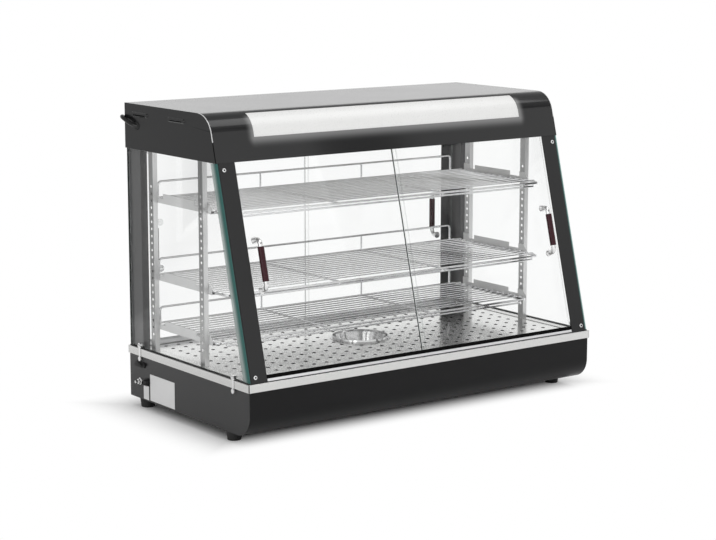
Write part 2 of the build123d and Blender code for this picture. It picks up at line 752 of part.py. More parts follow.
# Switch bodies: face, body behind the panel and a round pocket for the rocker
pivot_y = body_y - ROCKER_PIVOT_DEPTH
rocker_swing = math.hypot(ROCKER_REACH, ROCKER_TIP)
with BuildPart() as switch_bodies:
    with BuildSketch(rear_face):
        with Locations(*[(-x, control_z) for x in SWITCH_X]):
            RectangleRounded(SWITCH_FACE_WIDTH, SWITCH_FACE_HEIGHT, SWITCH_FACE_ROUND)
    extrude(amount=SWITCH_FACE)
    with BuildSketch(rear_face):
        with Locations(*[(-x, control_z) for x in SWITCH_X]):
            Rectangle(SWITCH_BODY_WIDTH, SWITCH_BODY_HEIGHT)
    extrude(amount=-SWITCH_BODY_DEPTH)
    for switch_x in SWITCH_X:
        with BuildSketch(Plane.YZ.offset(switch_x)):
            with Locations((pivot_y, control_z)):
                Circle(rocker_swing + ROCKER_GAP)
        extrude(amount=ROCKER_WIDTH / 2 + ROCKER_GAP, both=True, mode=Mode.SUBTRACT)
        with BuildSketch(Plane.YZ.offset(switch_x)):
            with Locations((pivot_y, control_z)):
                Circle(ROCKER_PIN_RADIUS + RUNNING_FIT)
        extrude(amount=ROCKER_WIDTH / 2 + ROCKER_PIN_LENGTH + ROCKER_GAP, both=True, mode=Mode.SUBTRACT)
save(switch_bodies.part, "switch_bodies")


def make_rocker(x):
    """A rocker with a shallow valley across its face, stored tilted to its off side."""
    tilt = math.radians(ROCKER_TILT)
    tilted = Plane(
        origin=(x, pivot_y, control_z),
        x_dir=(0, math.cos(tilt), math.sin(tilt)),
        z_dir=(1, 0, 0),
    )
    with BuildPart() as rocker:
        with BuildSketch(tilted):
            with BuildLine():
                Polyline(
                    (ROCKER_TIP, ROCKER_REACH),
                    (ROCKER_WAIST, 0),
                    (ROCKER_TIP, -ROCKER_REACH),
                    (-ROCKER_BACK, -ROCKER_BACK),
                    (-ROCKER_BACK, ROCKER_BACK),
                    close=True,
                )
            make_face()
        extrude(amount=ROCKER_WIDTH / 2, both=True)
        with BuildSketch(tilted):
            Circle(ROCKER_PIN_RADIUS)
        extrude(amount=ROCKER_WIDTH / 2 + ROCKER_PIN_LENGTH, both=True)
    return rocker.part


save(make_rocker(SWITCH_X[0]), "heat_rocker")
save(make_rocker(SWITCH_X[1]), "light_rocker")

# Indicator lamp: barrel through the panel, flange and domed cap
with BuildPart() as indicator_lamp:
    with BuildSketch(rear_face):
        with Locations((-INDICATOR_X, control_z)):
            Circle(INDICATOR_RADIUS)
    extrude(amount=-INDICATOR_BODY_DEPTH)
    with BuildSketch(rear_face):
        with Locations((-INDICATOR_X, control_z)):
            Circle(INDICATOR_RADIUS + INDICATOR_FLANGE)
    extrude(amount=INDICATOR_FLANGE)
    with Locations((INDICATOR_X, body_y + INDICATOR_FLANGE, control_z)):
        Sphere(INDICATOR_RADIUS)
save(indicator_lamp.part, "indicator_lamp")

# Cable gland on the left end, with its nut inside
with BuildPart() as cable_gland:
    with BuildSketch(left_face):
        with Locations((-gland_y, z_base + GLAND_RISE)):
            RegularPolygon(GLAND_RADIUS, 6)
    extrude(amount=GLAND_COLLAR)
    with BuildSketch(left_face.offset(GLAND_COLLAR)):
        with Locations((-gland_y, z_base + GLAND_RISE)):
            Circle(GLAND_THREAD_RADIUS)
    extrude(amount=GLAND_DOME)
    fillet(cable_gland.edges().sort_by(Axis.X)[0], GLAND_DOME / 3)
    with BuildSketch(left_face):
        with Locations((-gland_y, z_base + GLAND_RISE)):
            Circle(GLAND_THREAD_RADIUS)
    extrude(amount=-GLAND_TAIL)
    with BuildSketch(left_face.offset(-SHEET)):
        with Locations((-gland_y, z_base + GLAND_RISE)):
            RegularPolygon(GLAND_RADIUS, 6)
    extrude(amount=-GLAND_NUT)
    with BuildSketch(left_face.offset(GLAND_COLLAR + GLAND_DOME)):
        with Locations((-gland_y, z_base + GLAND_RISE)):
            Circle(GLAND_BORE_RADIUS)
    extrude(amount=-(GLAND_COLLAR + GLAND_DOME + GLAND_TAIL), mode=Mode.SUBTRACT)
save(cable_gland.part, "cable_gland")

# Bonding stud on the left end: stud, washers and nuts
with BuildPart() as bonding_stud:
    with BuildSketch(left_face.offset(-STUD_TAIL)):
        with Locations((-stud_y, z_base + STUD_RISE)):
            Circle(STUD_RADIUS)
    extrude(amount=STUD_TAIL + STUD_LENGTH)
    with BuildSketch(left_face):
        with Locations((-stud_y, z_base + STUD_RISE)):
            Circle(STUD_WASHER_RADIUS)
    extrude(amount=STUD_WASHER)
    with BuildSketch(left_face.offset(STUD_WASHER)):
        with Locations((-stud_y, z_base + STUD_RISE)):
            RegularPolygon(STUD_NUT_RADIUS, 6)
    extrude(amount=STUD_NUT)
    with BuildSketch(left_face.offset(-SHEET)):
        with Locations((-stud_y, z_base + STUD_RISE)):
            RegularPolygon(STUD_NUT_RADIUS, 6)
    extrude(amount=SHEET - STUD_TAIL)
save(bonding_stud.part, "bonding_stud")

# Blank data plate and blank tag on the left end
with BuildPart() as blank_plates:
    with BuildSketch(left_face):
        with Locations((-plate_y, z_base + PLATE_RISE)):
            Rectangle(PLATE_LENGTH, PLATE_HEIGHT)
        with Locations((-tag_y, z_base + TAG_RISE)):
            Rectangle(TAG_LENGTH, TAG_HEIGHT)
    extrude(amount=PLATE_SHEET)
save(blank_plates.part, "blank_plates")

# Side panes lean with the front and stand on gasket strips
glass_foot = z_sill + GASKET
with BuildSketch() as side_pane_outline:
    with BuildLine():
        Polyline(
            at_level(0, glass_foot),
            at_level(0, z_canopy),
            (post_back, z_canopy),
            (post_back, glass_foot),
            close=True,
        )
    make_face()

for side, side_name in ((-1, "left"), (1, "right")):
    with BuildPart() as side_glass:
        with BuildSketch(Plane.YZ.offset(side * glass_inner)):
            add(side_pane_outline.sketch)
        extrude(amount=side * GLASS)
    save(side_glass.part, f"side_glass_{side_name}")

gasket_front = at_level(0, glass_foot)[0]
with BuildPart() as side_gaskets:
    for side in (-1, 1):
        with Locations((side * glass_inner, (gasket_front + post_back) / 2, z_sill)):
            Box(
                GLASS + GASKET_LIP,
                post_back - gasket_front,
                GASKET,
                align=(Align.MIN if side > 0 else Align.MAX, Align.CENTER, Align.MIN),
            )
save(side_gaskets.part, "side_gaskets")

# Bright spring clips that hold the foot of each side pane to the trim
clip_inner = TRIM_WIDTH / 2 + SEAT
clip_top = z_sill + CLIP_BULB_RISE
clip_bottom = z_trim - CLIP_HOOK_DROP
clip_bulb_x = glass_outer + SEAT + CLIP_BULB_RADIUS
clip_hook_x = clip_inner + CLIP_STRIP - CLIP_HOOK_RADIUS
with BuildPart() as glass_clips:
    for side in (-1, 1):
        for clip_y in clip_points_y:
            with BuildSketch(Plane.XZ.offset(-clip_y)):
                with Locations((side * clip_inner, clip_bottom)):
                    Rectangle(
                        CLIP_STRIP,
                        clip_top - clip_bottom,
                        align=(Align.MIN if side > 0 else Align.MAX, Align.MIN),
                    )
            extrude(amount=CLIP_WAIST / 2, both=True)
            with BuildSketch(Plane.XZ.offset(-clip_y)):
                with Locations((side * clip_bulb_x, clip_top)):
                    Circle(CLIP_BULB_RADIUS)
                with Locations((side * clip_hook_x, clip_bottom)):
                    Circle(CLIP_HOOK_RADIUS)
            extrude(amount=CLIP_WIDTH / 2, both=True)
            with BuildSketch(Plane.YZ.offset(side * (glass_outer + CLIP_PAD_INSET))):
                with Locations((clip_y, z_sill + CLIP_PAD_RADIUS + SEAT)):
                    Circle(CLIP_PAD_RADIUS)
            extrude(amount=side * (clip_inner + CLIP_STUD - glass_outer - CLIP_PAD_INSET))
            with BuildSketch(Plane.YZ.offset(side * clip_inner)):
                with Locations((clip_y, clip_bottom)):
                    Circle(CLIP_FOOT_RADIUS)
            extrude(amount=side * CLIP_STUD)
save(glass_clips.part, "glass_clips")

# Front pillars: folded angles that lean with the front, drilled for two screws each
pillar_screw_x = pillar_outer - PILLAR_SCREW_EDGE
pillar_screw_climbs = (PILLAR_SCREW_FOOT, slope_length - PILLAR_SCREW_HEAD)


def pillar_leaf(depth):
    """Side view of a leaning leaf, cut level at sill and canopy."""
    with BuildSketch() as leaf:
        with BuildLine():
            Polyline(
                at_level(0, z_sill),
                at_level(0, z_canopy),
                at_level(depth, z_canopy),
                at_level(depth, z_sill),
                close=True,
            )
        make_face()
    return leaf.sketch


pillar_face_leaf = pillar_leaf(PILLAR_SHEET)
pillar_return_leaf = pillar_leaf(PILLAR_RETURN)
for side, side_name in ((-1, "left"), (1, "right")):
    with BuildPart() as front_pillar:
        with BuildSketch(Plane.YZ.offset(side * pillar_inner)):
            add(pillar_face_leaf)
        extrude(amount=side * PILLAR_FACE)
        with BuildSketch(Plane.YZ.offset(side * pillar_outer)):
            add(pillar_return_leaf)
        extrude(amount=-side * PILLAR_SHEET)
        with BuildSketch(front_plane):
            with Locations(*[(side * pillar_screw_x, climb) for climb in pillar_screw_climbs]):
                Circle(PILLAR_SCREW_RADIUS + SCREW_CLEARANCE)
        extrude(amount=-PILLAR_SHEET, mode=Mode.SUBTRACT)
    save(front_pillar.part, f"front_pillar_{side_name}")

# Pan-head screws through the pillars, with nuts behind the leaf
pillar_screw_points = [
    (side * pillar_screw_x, climb) for side in (-1, 1) for climb in pillar_screw_climbs
]
with BuildPart() as pillar_screws:
    with BuildSketch(front_plane):
        with Locations(*pillar_screw_points):
            Circle(PILLAR_SCREW_HEAD_RADIUS)
    extrude(amount=PILLAR_SCREW_HEAD_HEIGHT)
    head_edges = pillar_screws.edges().filter_by(GeomType.CIRCLE)
    outward = Axis(front_plane.origin, front_plane.z_dir)
    fillet(head_edges.group_by(outward)[-1], PILLAR_SCREW_HEAD_HEIGHT / 2)
    with BuildSketch(front_plane):
        with Locations(*pillar_screw_points):
            Circle(PILLAR_SCREW_RADIUS)
    extrude(amount=-PILLAR_SCREW_TAIL)
    with BuildSketch(front_plane.offset(-PILLAR_SHEET)):
        with Locations(*pillar_screw_points):
            RegularPolygon(PILLAR_NUT_RADIUS, 6)
    extrude(amount=-PILLAR_NUT)
    with BuildSketch(front_plane.offset(PILLAR_SCREW_HEAD_HEIGHT)):
        with Locations(*pillar_screw_points):
            Rectangle(RECESS_LENGTH, RECESS_WIDTH)
            Rectangle(RECESS_WIDTH, RECESS_LENGTH)
    extrude(amount=-RECESS_DEPTH, mode=Mode.SUBTRACT)
save(pillar_screws.part, "pillar_screws")

# Rear posts: folded tubes with a lip that covers the end of the rear doors
for side, side_name in ((-1, "left"), (1, "right")):
    post_mid = side * (post_outer + post_inner) / 2
    lip_mid = side * (post_inner - POST_LIP / 2)
    with BuildPart() as rear_post:
        with BuildSketch(Plane.XY.offset(z_sill)):
            with Locations((post_mid, post_back - POST_DEPTH / 2)):
                Rectangle(POST_WIDTH, POST_DEPTH)
                Rectangle(
                    POST_WIDTH - 2 * PILLAR_SHEET, POST_DEPTH - 2 * PILLAR_SHEET, mode=Mode.SUBTRACT
                )
            with Locations((lip_mid, post_back - PILLAR_SHEET / 2)):
                Rectangle(POST_LIP, PILLAR_SHEET)
        extrude(amount=WINDOW_HEIGHT)
        if side_name == "left":
            with BuildSketch(Plane(origin=lead_entry, x_dir=(-1, 0, 0), z_dir=(0, 1, 0))):
                Circle(GROMMET_POST_RADIUS + SCREW_CLEARANCE)
            extrude(amount=-PILLAR_SHEET, mode=Mode.SUBTRACT)
    save(rear_post.part, f"rear_post_{side_name}")

# Pilasters: four small channels, open to the rear, with a row of peg holes through both flanks
peg_levels = [z_sill + PEG_FIRST + index * PEG_PITCH for index in range(PEG_COUNT)]
pilaster_x = (pilaster_outer + pilaster_inner) / 2
pilaster_points = [
    (side * pilaster_x, y) for side in (-1, 1) for y in (pilaster_front_y, pilaster_rear_y)
]
with BuildPart() as shelf_pilasters:
    with BuildSketch(Plane.XY.offset(z_sill)):
        with Locations(*pilaster_points):
            Rectangle(PILASTER_WIDTH, PILASTER_DEPTH)
        with Locations(*[(x, y + PILASTER_SHEET / 2) for x, y in pilaster_points]):
            Rectangle(
                PILASTER_WIDTH - 2 * PILASTER_SHEET,
                PILASTER_DEPTH - PILASTER_SHEET,
                mode=Mode.SUBTRACT,
            )
    extrude(amount=WINDOW_HEIGHT)
    with BuildSketch(Plane.YZ):
        with Locations(*[(y, z) for y in (pilaster_front_y, pilaster_rear_y) for z in peg_levels]):
            Circle(PEG_HOLE_RADIUS)
    extrude(amount=pilaster_outer, both=True, mode=Mode.SUBTRACT)
save(shelf_pilasters.part, "shelf_pilasters")

# Shelf levels follow the peg holes that carry them
bracket_front = pilaster_front_y - PILASTER_DEPTH / 2 - BRACKET_OVERRUN
bracket_rear = pilaster_rear_y + PILASTER_DEPTH / 2 + SEAT + BRACKET_SHEET
fence_front = pilaster_front_y + PILASTER_DEPTH / 2 + BRACKET_FENCE_FRONT
fence_rear = pilaster_rear_y - PILASTER_DEPTH / 2 - BRACKET_FENCE_REAR


def shelf_levels(shelf):
    """Peg, wire top, frame axis and bracket ledge levels of a shelf."""
    peg = peg_levels[SHELF_HOLE[shelf]]
    wire_top = peg - SHELF_DROP
    frame_axis = wire_top - 2 * WIRE_RADIUS - FRAME_RADIUS + WELD
    ledge_top = frame_axis - FRAME_RADIUS - SEAT
    return peg, wire_top, frame_axis, ledge_top


# The upper shelf keeps its gap to the leaning front; all three end before the rear track
shelf_lead_y = at_level(0, shelf_levels("upper")[1])[0] + SHELF_FRONT_GAP
shelf_rear_y = rear_track_y - track_depth - SHELF_REAR_GAP


# Shelf brackets: ledge, bar with a raised fence, pegs and a hook behind the rear pilaster
with BuildPart() as shelf_brackets:
    for shelf in SHELF_HOLE:
        peg, wire_top, frame_axis, ledge_top = shelf_levels(shelf)
        ledge_bottom = ledge_top - BRACKET_SHEET
        bar_top = peg + PEG_RADIUS
        for side in (-1, 1):
            with BuildSketch(Plane.YZ.offset(side * bracket_outer)):
                with BuildLine():
                    Polyline(
                        (bracket_front, ledge_bottom),
                        (bracket_front, ledge_bottom + BRACKET_BAR),
                        (pilaster_front_y - PILASTER_DEPTH / 2, bar_top),
                        (pilaster_front_y + PILASTER_DEPTH / 2, bar_top),
                        (pilaster_front_y + PILASTER_DEPTH / 2, ledge_bottom + BRACKET_NECK),
                        (fence_front, ledge_bottom + BRACKET_NECK),
                        (fence_front, ledge_bottom + BRACKET_FENCE),
                        (fence_rear, ledge_bottom + BRACKET_FENCE),
                        (fence_rear, ledge_bottom + BRACKET_NECK),
                        (pilaster_rear_y - PILASTER_DEPTH / 2, ledge_bottom + BRACKET_NECK),
                        (pilaster_rear_y - PILASTER_DEPTH / 2, bar_top),
                        (bracket_rear, bar_top),
                        (bracket_rear, ledge_bottom),
                        close=True,
                    )
                make_face()
            extrude(amount=-side * BRACKET_SHEET)
            with Locations((side * bracket_outer, (bracket_front + fence_rear) / 2, ledge_bottom)):
                Box(
                    BRACKET_LEDGE,
                    fence_rear - bracket_front,
                    BRACKET_SHEET,
                    align=(Align.MAX if side > 0 else Align.MIN, Align.CENTER, Align.MIN),
                )
            with BuildSketch(Plane.YZ.offset(side * bracket_outer)):
                with Locations((pilaster_front_y, peg), (pilaster_rear_y, peg)):
                    Circle(PEG_RADIUS)
            extrude(amount=side * PEG_LENGTH)
            with Locations((side * bracket_outer, bracket_rear, ledge_bottom)):
                Box(
                    BRACKET_HOOK,
                    BRACKET_SHEET,
                    bar_top - ledge_bottom,
                    align=(Align.MIN if side > 0 else Align.MAX, Align.MAX, Align.MIN),
                )
save(shelf_brackets.part, "shelf_brackets")


def round_bar(start, end, radius):
    """A straight round bar between two points, inside the part being built."""
    with BuildPart() as bar:
        with BuildSketch(Plane(origin=start, z_dir=Vector(*end) - Vector(*start))):
            Circle(radius)
        extrude(amount=(Vector(*end) - Vector(*start)).length)
    return bar.part


def make_shelf(shelf):
    """Welded wire shelf: rounded frame, cross bars, long wires, front apron and rear rail."""
    peg, wire_top, frame_axis, ledge_top = shelf_levels(shelf)
    front_y = shelf_lead_y + SHELF_STEP[shelf]
    wire_axis = wire_top - WIRE_RADIUS
    apron_axis = frame_axis - APRON_DROP
    apron_x = shelf_x - FRAME_CORNER - APRON_SPAN
    rail_axis = wire_top + RAIL_RISE
    rail_x = shelf_x - FRAME_CORNER - RAIL_INSET
    post_foot = frame_axis + 2 * WELD
    cross_axis = frame_axis + FRAME_RADIUS - CROSS_RADIUS
    wire_x = shelf_x - WELD
    depth = shelf_rear_y - front_y
    wires = int(depth // WIRE_PITCH)
    wire_step = depth / wires
    with BuildPart() as shelf_grid:
        for end_y in (front_y, shelf_rear_y):
            with BuildLine() as half_frame:
                FilletPolyline(
                    (-shelf_x, (front_y + shelf_rear_y) / 2, frame_axis),
                    (-shelf_x, end_y, frame_axis),
                    (shelf_x, end_y, frame_axis),
                    (shelf_x, (front_y + shelf_rear_y) / 2, frame_axis),
                    radius=FRAME_CORNER,
                )
            with BuildSketch(Plane(origin=half_frame.wire() @ 0, z_dir=half_frame.wire() % 0)):
                Circle(FRAME_RADIUS)
            sweep(path=half_frame.wire())
        for index in range(1, wires):
            wire_y = front_y + index * wire_step
            add(round_bar((-wire_x, wire_y, wire_axis), (wire_x, wire_y, wire_axis), WIRE_RADIUS))
        for cross_x in (-CROSS_X, CROSS_X):
            cross_front = (cross_x, front_y + WELD, cross_axis)
            cross_rear = (cross_x, shelf_rear_y - WELD, cross_axis)
            add(round_bar(cross_front, cross_rear, CROSS_RADIUS))
            rail_foot = (cross_x, shelf_rear_y, post_foot)
            rail_head = (cross_x, shelf_rear_y, rail_axis)
            add(round_bar(rail_foot, rail_head, RAIL_POST_RADIUS))
        add(round_bar((-apron_x, front_y, apron_axis), (apron_x, front_y, apron_axis), APRON_RADIUS))
        for tie_x in (WELD - apron_x, -CROSS_X, CROSS_X, apron_x - WELD):
            add(round_bar((tie_x, front_y, apron_axis), (tie_x, front_y, frame_axis - WELD), TIE_RADIUS))
        with BuildLine() as rail_path:
            FilletPolyline(
                (-rail_x, shelf_rear_y, post_foot),
                (-rail_x, shelf_rear_y, rail_axis),
                (rail_x, shelf_rear_y, rail_axis),
                (rail_x, shelf_rear_y, post_foot),
                radius=RAIL_BEND,
            )
        with BuildSketch(Plane(origin=rail_path.wire() @ 0, z_dir=rail_path.wire() % 0)):
            Circle(RAIL_RADIUS)
        sweep(path=rail_path.wire())
    return shelf_grid.part


for shelf in SHELF_HOLE:
    save(make_shelf(shelf), f"{shelf}_shelf")

# Front tracks: two grooves behind a lip; the lower one stands level on the sill, the upper
# one hides behind the face of the canopy
groove_edges = [0, TRACK_LIP, TRACK_LIP + TRACK_GROOVE, 2 * TRACK_LIP + TRACK_GROOVE]
groove_edges += [2 * (TRACK_LIP + TRACK_GROOVE), track_depth]
hidden_edges = [SHEET + SEAT, SHEET + SEAT + TRACK_HIDDEN_LIP] + groove_edges[2:]
pane_depths = [TRACK_LIP + TRACK_GROOVE / 2, 2 * TRACK_LIP + 3 * TRACK_GROOVE / 2]
front_track_x = pillar_inner - SEAT
lower_lip = TRACK_FLOOR + TRACK_LIP_HEIGHT
upper_lip = slope_length + TRACK_HIDE
upper_roof = upper_lip + TRACK_ROOF_LIP


def comb(edges, lip, floor):
    """Depth and height of the toothed side of a track, from its first lip to its last."""
    heights = [lip, lip, floor, floor, lip, lip, floor, floor, lip, lip]
    depths = [edges[0]] + [edge for edge in edges[1:5] for _ in range(2)] + [edges[5]]
    return list(zip(depths, heights))


with BuildPart() as front_lower_track:
    with BuildSketch(Plane.YZ.offset(-front_track_x)):
        with BuildLine():
            Polyline(
                at_level(0, z_sill),
                *[on_slope(depth, climb) for depth, climb in comb(groove_edges, lower_lip, TRACK_FLOOR)],
                at_level(track_depth, z_sill),
                close=True,
            )
        make_face()
    extrude(amount=2 * front_track_x)
save(front_lower_track.part, "front_lower_track")

with BuildPart() as front_upper_track:
    with BuildSketch(Plane.YZ.offset(-front_track_x)):
        with BuildLine():
            Polyline(
                on_slope(hidden_edges[0], upper_roof + TRACK_ROOF),
                *[on_slope(depth, climb) for depth, climb in comb(hidden_edges, upper_lip, upper_roof)],
                on_slope(track_depth, upper_roof + TRACK_ROOF),
                close=True,
            )
        make_face()
    extrude(amount=2 * front_track_x)
save(front_upper_track.part, "front_upper_track")

# Rear tracks: the same section upright, between the rear posts
rear_track_x = post_inner - SEAT
rear_floor = z_sill + TRACK_REAR_FLOOR
rear_lower_lip = rear_floor + TRACK_LIP_HEIGHT
rear_roof = z_canopy - TRACK_REAR_FLOOR
rear_upper_lip = rear_roof - TRACK_ROOF_LIP
with BuildPart() as rear_lower_track:
    with BuildSketch(Plane.YZ.offset(-rear_track_x)):
        with BuildLine():
            Polyline(
                (rear_track_y, z_sill),
                *[(rear_track_y - depth, z) for depth, z in comb(groove_edges, rear_lower_lip, rear_floor)],
                (rear_track_y - track_depth, z_sill),
                close=True,
            )
        make_face()
    extrude(amount=2 * rear_track_x)
save(rear_lower_track.part, "rear_lower_track")

with BuildPart() as rear_upper_track:
    with BuildSketch(Plane.YZ.offset(-rear_track_x)):
        with BuildLine():
            Polyline(
                (rear_track_y, z_canopy),
                *[(rear_track_y - depth, z) for depth, z in comb(groove_edges, rear_upper_lip, rear_roof)],
                (rear_track_y - track_depth, z_canopy),
                close=True,
            )
        make_face()
    extrude(amount=2 * rear_track_x)
save(rear_upper_track.part, "rear_upper_track")


def make_pane(outer_plane, low, high, inner_x, outer_x):
    """A sliding pane on the plane of its outer face, between two heights and two X places."""
    with BuildPart() as pane:
        with BuildSketch(outer_plane):
            with Locations(((inner_x + outer_x) / 2, (low + high) / 2)):
                Rectangle(abs(outer_x - inner_x), high - low)
        extrude(amount=-GLASS)
    return pane.part


def make_handle(foot, climb, outward):
    """A bow handle on a pane: bent bar with a rose at each foot, and its grip sleeve."""
    bow = Plane(origin=foot, x_dir=climb, z_dir=Vector(*climb).cross(Vector(*outward)))
    bar_start = bow.from_local_coords((-GRIP_LENGTH / 2, HANDLE_STAND, 0))
    with BuildPart() as handle:
        with BuildLine(bow) as bow_path:
            FilletPolyline(
                (-HANDLE_LENGTH / 2, 0),
                (-HANDLE_LENGTH / 2, HANDLE_STAND),
                (HANDLE_LENGTH / 2, HANDLE_STAND),
                (HANDLE_LENGTH / 2, 0),
                radius=HANDLE_BEND,
            )
        with BuildSketch(Plane(origin=bow_path.wire() @ 0, z_dir=bow_path.wire() % 0)):
            Circle(HANDLE_RADIUS)
        sweep(path=bow_path.wire())
        for end in (0, 1):
            with BuildSketch(Plane(origin=bow_path.wire() @ end, z_dir=outward)):
                Circle(HANDLE_ROSE_RADIUS)
            extrude(amount=HANDLE_ROSE)
    with BuildPart() as grip:
        with BuildSketch(Plane(origin=bar_start, z_dir=climb)):
            Circle(GRIP_RADIUS)
            Circle(HANDLE_RADIUS + RUNNING_FIT, mode=Mode.SUBTRACT)
        extrude(amount=GRIP_LENGTH)
        outer_rims = grip.edges().filter_by(GeomType.CIRCLE).sort_by(SortBy.RADIUS)[-2:]
        fillet(outer_rims, GRIP_ROUND)
    return handle.part, grip.part


# Front doors: the left pane runs in the front groove, the right pane behind it
climb_front = (0, math.sin(slope), math.cos(slope))
outward_front = (0, -math.cos(slope), math.sin(slope))
front_pane_low = TRACK_FLOOR + DOOR_SEAT
front_pane_high = upper_roof - DOOR_TOP_PLAY
front_pane_end = pillar_inner + DOOR_TUCK
front_handle_x = pillar_inner - HANDLE_SIDE
for side, side_name, pane_depth in ((-1, "left", pane_depths[0]), (1, "right", pane_depths[1])):
    door_plane = front_plane.offset(GLASS / 2 - pane_depth)
    pane = make_pane(
        door_plane, front_pane_low, front_pane_high, -side * DOOR_OVERLAP, side * front_pane_end
    )
    handle_foot = door_plane.from_local_coords((side * front_handle_x, HANDLE_RISE, 0))
    handle, grip = make_handle(handle_foot, climb_front, outward_front)
    save(pane, f"front_{side_name}_door")
    save(handle, f"front_{side_name}_handle")
    save(grip, f"front_{side_name}_grip")

# Rear doors: the same, upright; the right pane runs in the outer groove
rear_pane_low = rear_floor + DOOR_SEAT
rear_pane_high = rear_roof - DOOR_TOP_PLAY
rear_pane_end = post_inner - DOOR_REAR_GAP
rear_handle_x = post_inner - POST_LIP - HANDLE_SIDE
for side, side_name, pane_depth in ((-1, "left", pane_depths[1]), (1, "right", pane_depths[0])):
    door_y = rear_track_y - pane_depth + GLASS / 2
    door_plane = Plane(origin=(0, door_y, 0), x_dir=(-1, 0, 0), z_dir=(0, 1, 0))
    pane = make_pane(
        door_plane, rear_pane_low, rear_pane_high, side * DOOR_OVERLAP, -side * rear_pane_end
    )
    handle_foot = (side * rear_handle_x, door_y, z_sill + HANDLE_REAR_RISE)
    handle, grip = make_handle(handle_foot, (0, 0, 1), (0, 1, 0))
    save(pane, f"rear_{side_name}_door")
    save(handle, f"rear_{side_name}_handle")
    save(grip, f"rear_{side_name}_grip")

# Canopy outline: flat top, rolled front edge, face that goes on the slope of the doors
y_crown = at_level(0, z_top)[0]
with BuildSketch() as canopy_outline:
    with BuildLine():
        Polyline(
            (back_y, z_canopy),
            (back_y, z_top),
            (y_crown, z_top),
            (y_lintel, z_canopy),
            close=True,
        )
    make_face()
    fillet(canopy_outline.vertices().group_by(Axis.Y)[-1].sort_by(Axis.X)[0], CANOPY_ROLL)

roll_y = y_crown + CANOPY_ROLL * math.tan((math.pi / 2 - slope) / 2)
roll_z = z_top - CANOPY_ROLL


def lens_window(margin):
    """Side view of the wedge that the lens fills, grown by a margin all round."""
    lean = math.radians(LENS_TOP_ANGLE)
    foot = z_canopy + LENS_BOTTOM_RISE - margin
    ray_y = roll_y + margin * math.cos(lean)
    ray_z = roll_z + margin * math.sin(lean)
    reach = 2 * CANOPY_ROLL
    top = ray_z + reach * math.cos(lean)
    with BuildSketch() as window:
        with BuildLine():
            Polyline(
                (ray_y - (foot - ray_z) * math.tan(lean), foot),
                (ray_y - reach * math.sin(lean), top),
                (roll_y - reach, top),
                (roll_y - reach, foot),
                close=True,
            )
        make_face()
    return window.sketch


# Canopy shell: top, front and back in one sheet, with a window for the lens
with BuildPart() as canopy_shell:
    with BuildSketch(Plane.YZ.offset(-inner_x)):
        add(canopy_outline.sketch)
        offset(amount=-SHEET, mode=Mode.SUBTRACT)
        with Locations(((at_level(SHEET, z_canopy)[0] + back_y - SHEET) / 2, z_canopy)):
            Rectangle(back_y - SHEET - at_level(SHEET, z_canopy)[0], 2 * SHEET, mode=Mode.SUBTRACT)
    extrude(amount=2 * inner_x)
    with BuildSketch(Plane.YZ.offset(-LENS_HALF)):
        add(lens_window(0))
    extrude(amount=2 * LENS_HALF, mode=Mode.SUBTRACT)
save(canopy_shell.part, "canopy_shell")

# End plates of the canopy, with two pressed louvres; the left one passes the lead
louvre_y = [body_y - inset for inset in LOUVRE_REAR]
louvre_points = [(y, z_canopy + LOUVRE_RISE) for y in louvre_y]
for side, side_name in ((-1, "left"), (1, "right")):
    with BuildPart() as canopy_side:
        with BuildSketch(Plane.YZ.offset(side * inner_x)):
            add(canopy_outline.sketch)
            if side_name == "left":
                with Locations((lead_exit.Y, lead_exit.Z)):
                    Circle(GROMMET_HOLE_RADIUS + SCREW_CLEARANCE, mode=Mode.SUBTRACT)
        extrude(amount=side * SHEET)
        with BuildSketch(Plane.YZ.offset(side * body_x)):
            with Locations(*louvre_points):
                SlotOverall(LOUVRE_LENGTH, LOUVRE_HEIGHT)
        extrude(amount=side * LOUVRE_BULGE, taper=LOUVRE_TAPER)
        with BuildSketch(Plane.YZ.offset(side * inner_x)):
            with Locations(*[(y, z - LOUVRE_SLIT) for y, z in louvre_points]):
                Rectangle(LOUVRE_LENGTH - 2 * LOUVRE_HEIGHT, LOUVRE_SLIT)
        extrude(amount=side * (SHEET + LOUVRE_BULGE), mode=Mode.SUBTRACT)
    save(canopy_side.part, f"canopy_side_{side_name}")

# Ceiling of the warm space, closing the canopy from below behind the upper front track
ceiling_front = at_level(track_depth + SEAT, z_canopy + SHEET)[0]
with BuildPart() as ceiling_panel:
    with BuildSketch(Plane.XY.offset(z_canopy)):
        with Locations((0, (ceiling_front + back_y - SHEET) / 2)):
            Rectangle(2 * inner_x, back_y - SHEET - ceiling_front)
    extrude(amount=SHEET)
save(ceiling_panel.part, "ceiling_panel")

# Opal lens, lying against the inside of the shell behind its window
with BuildPart() as light_lens:
    with BuildSketch(Plane.YZ.offset(-LENS_HALF - LENS_MARGIN)):
        offset(canopy_outline.sketch, amount=-SHEET, mode=Mode.ADD)
        offset(canopy_outline.sketch, amount=-SHEET - LENS_SHEET, mode=Mode.SUBTRACT)
        add(lens_window(LENS_MARGIN), mode=Mode.INTERSECT)
    extrude(amount=2 * (LENS_HALF + LENS_MARGIN))
save(light_lens.part, "light_lens")

# Lamp tube, its two holders on the ceiling, and its driver
lamp_half = LENS_HALF - LAMP_END_GAP
lamp_y = roll_y - LAMP_BEHIND
lamp_z = z_top - LAMP_DROP
z_ceiling = z_canopy + SHEET
with BuildPart() as lamp_tube:
    with BuildSketch(Plane.YZ.offset(-lamp_half)):
        with Locations((lamp_y, lamp_z)):
            Circle(LAMP_RADIUS)
    extrude(amount=2 * lamp_half)
save(lamp_tube.part, "lamp_tube")

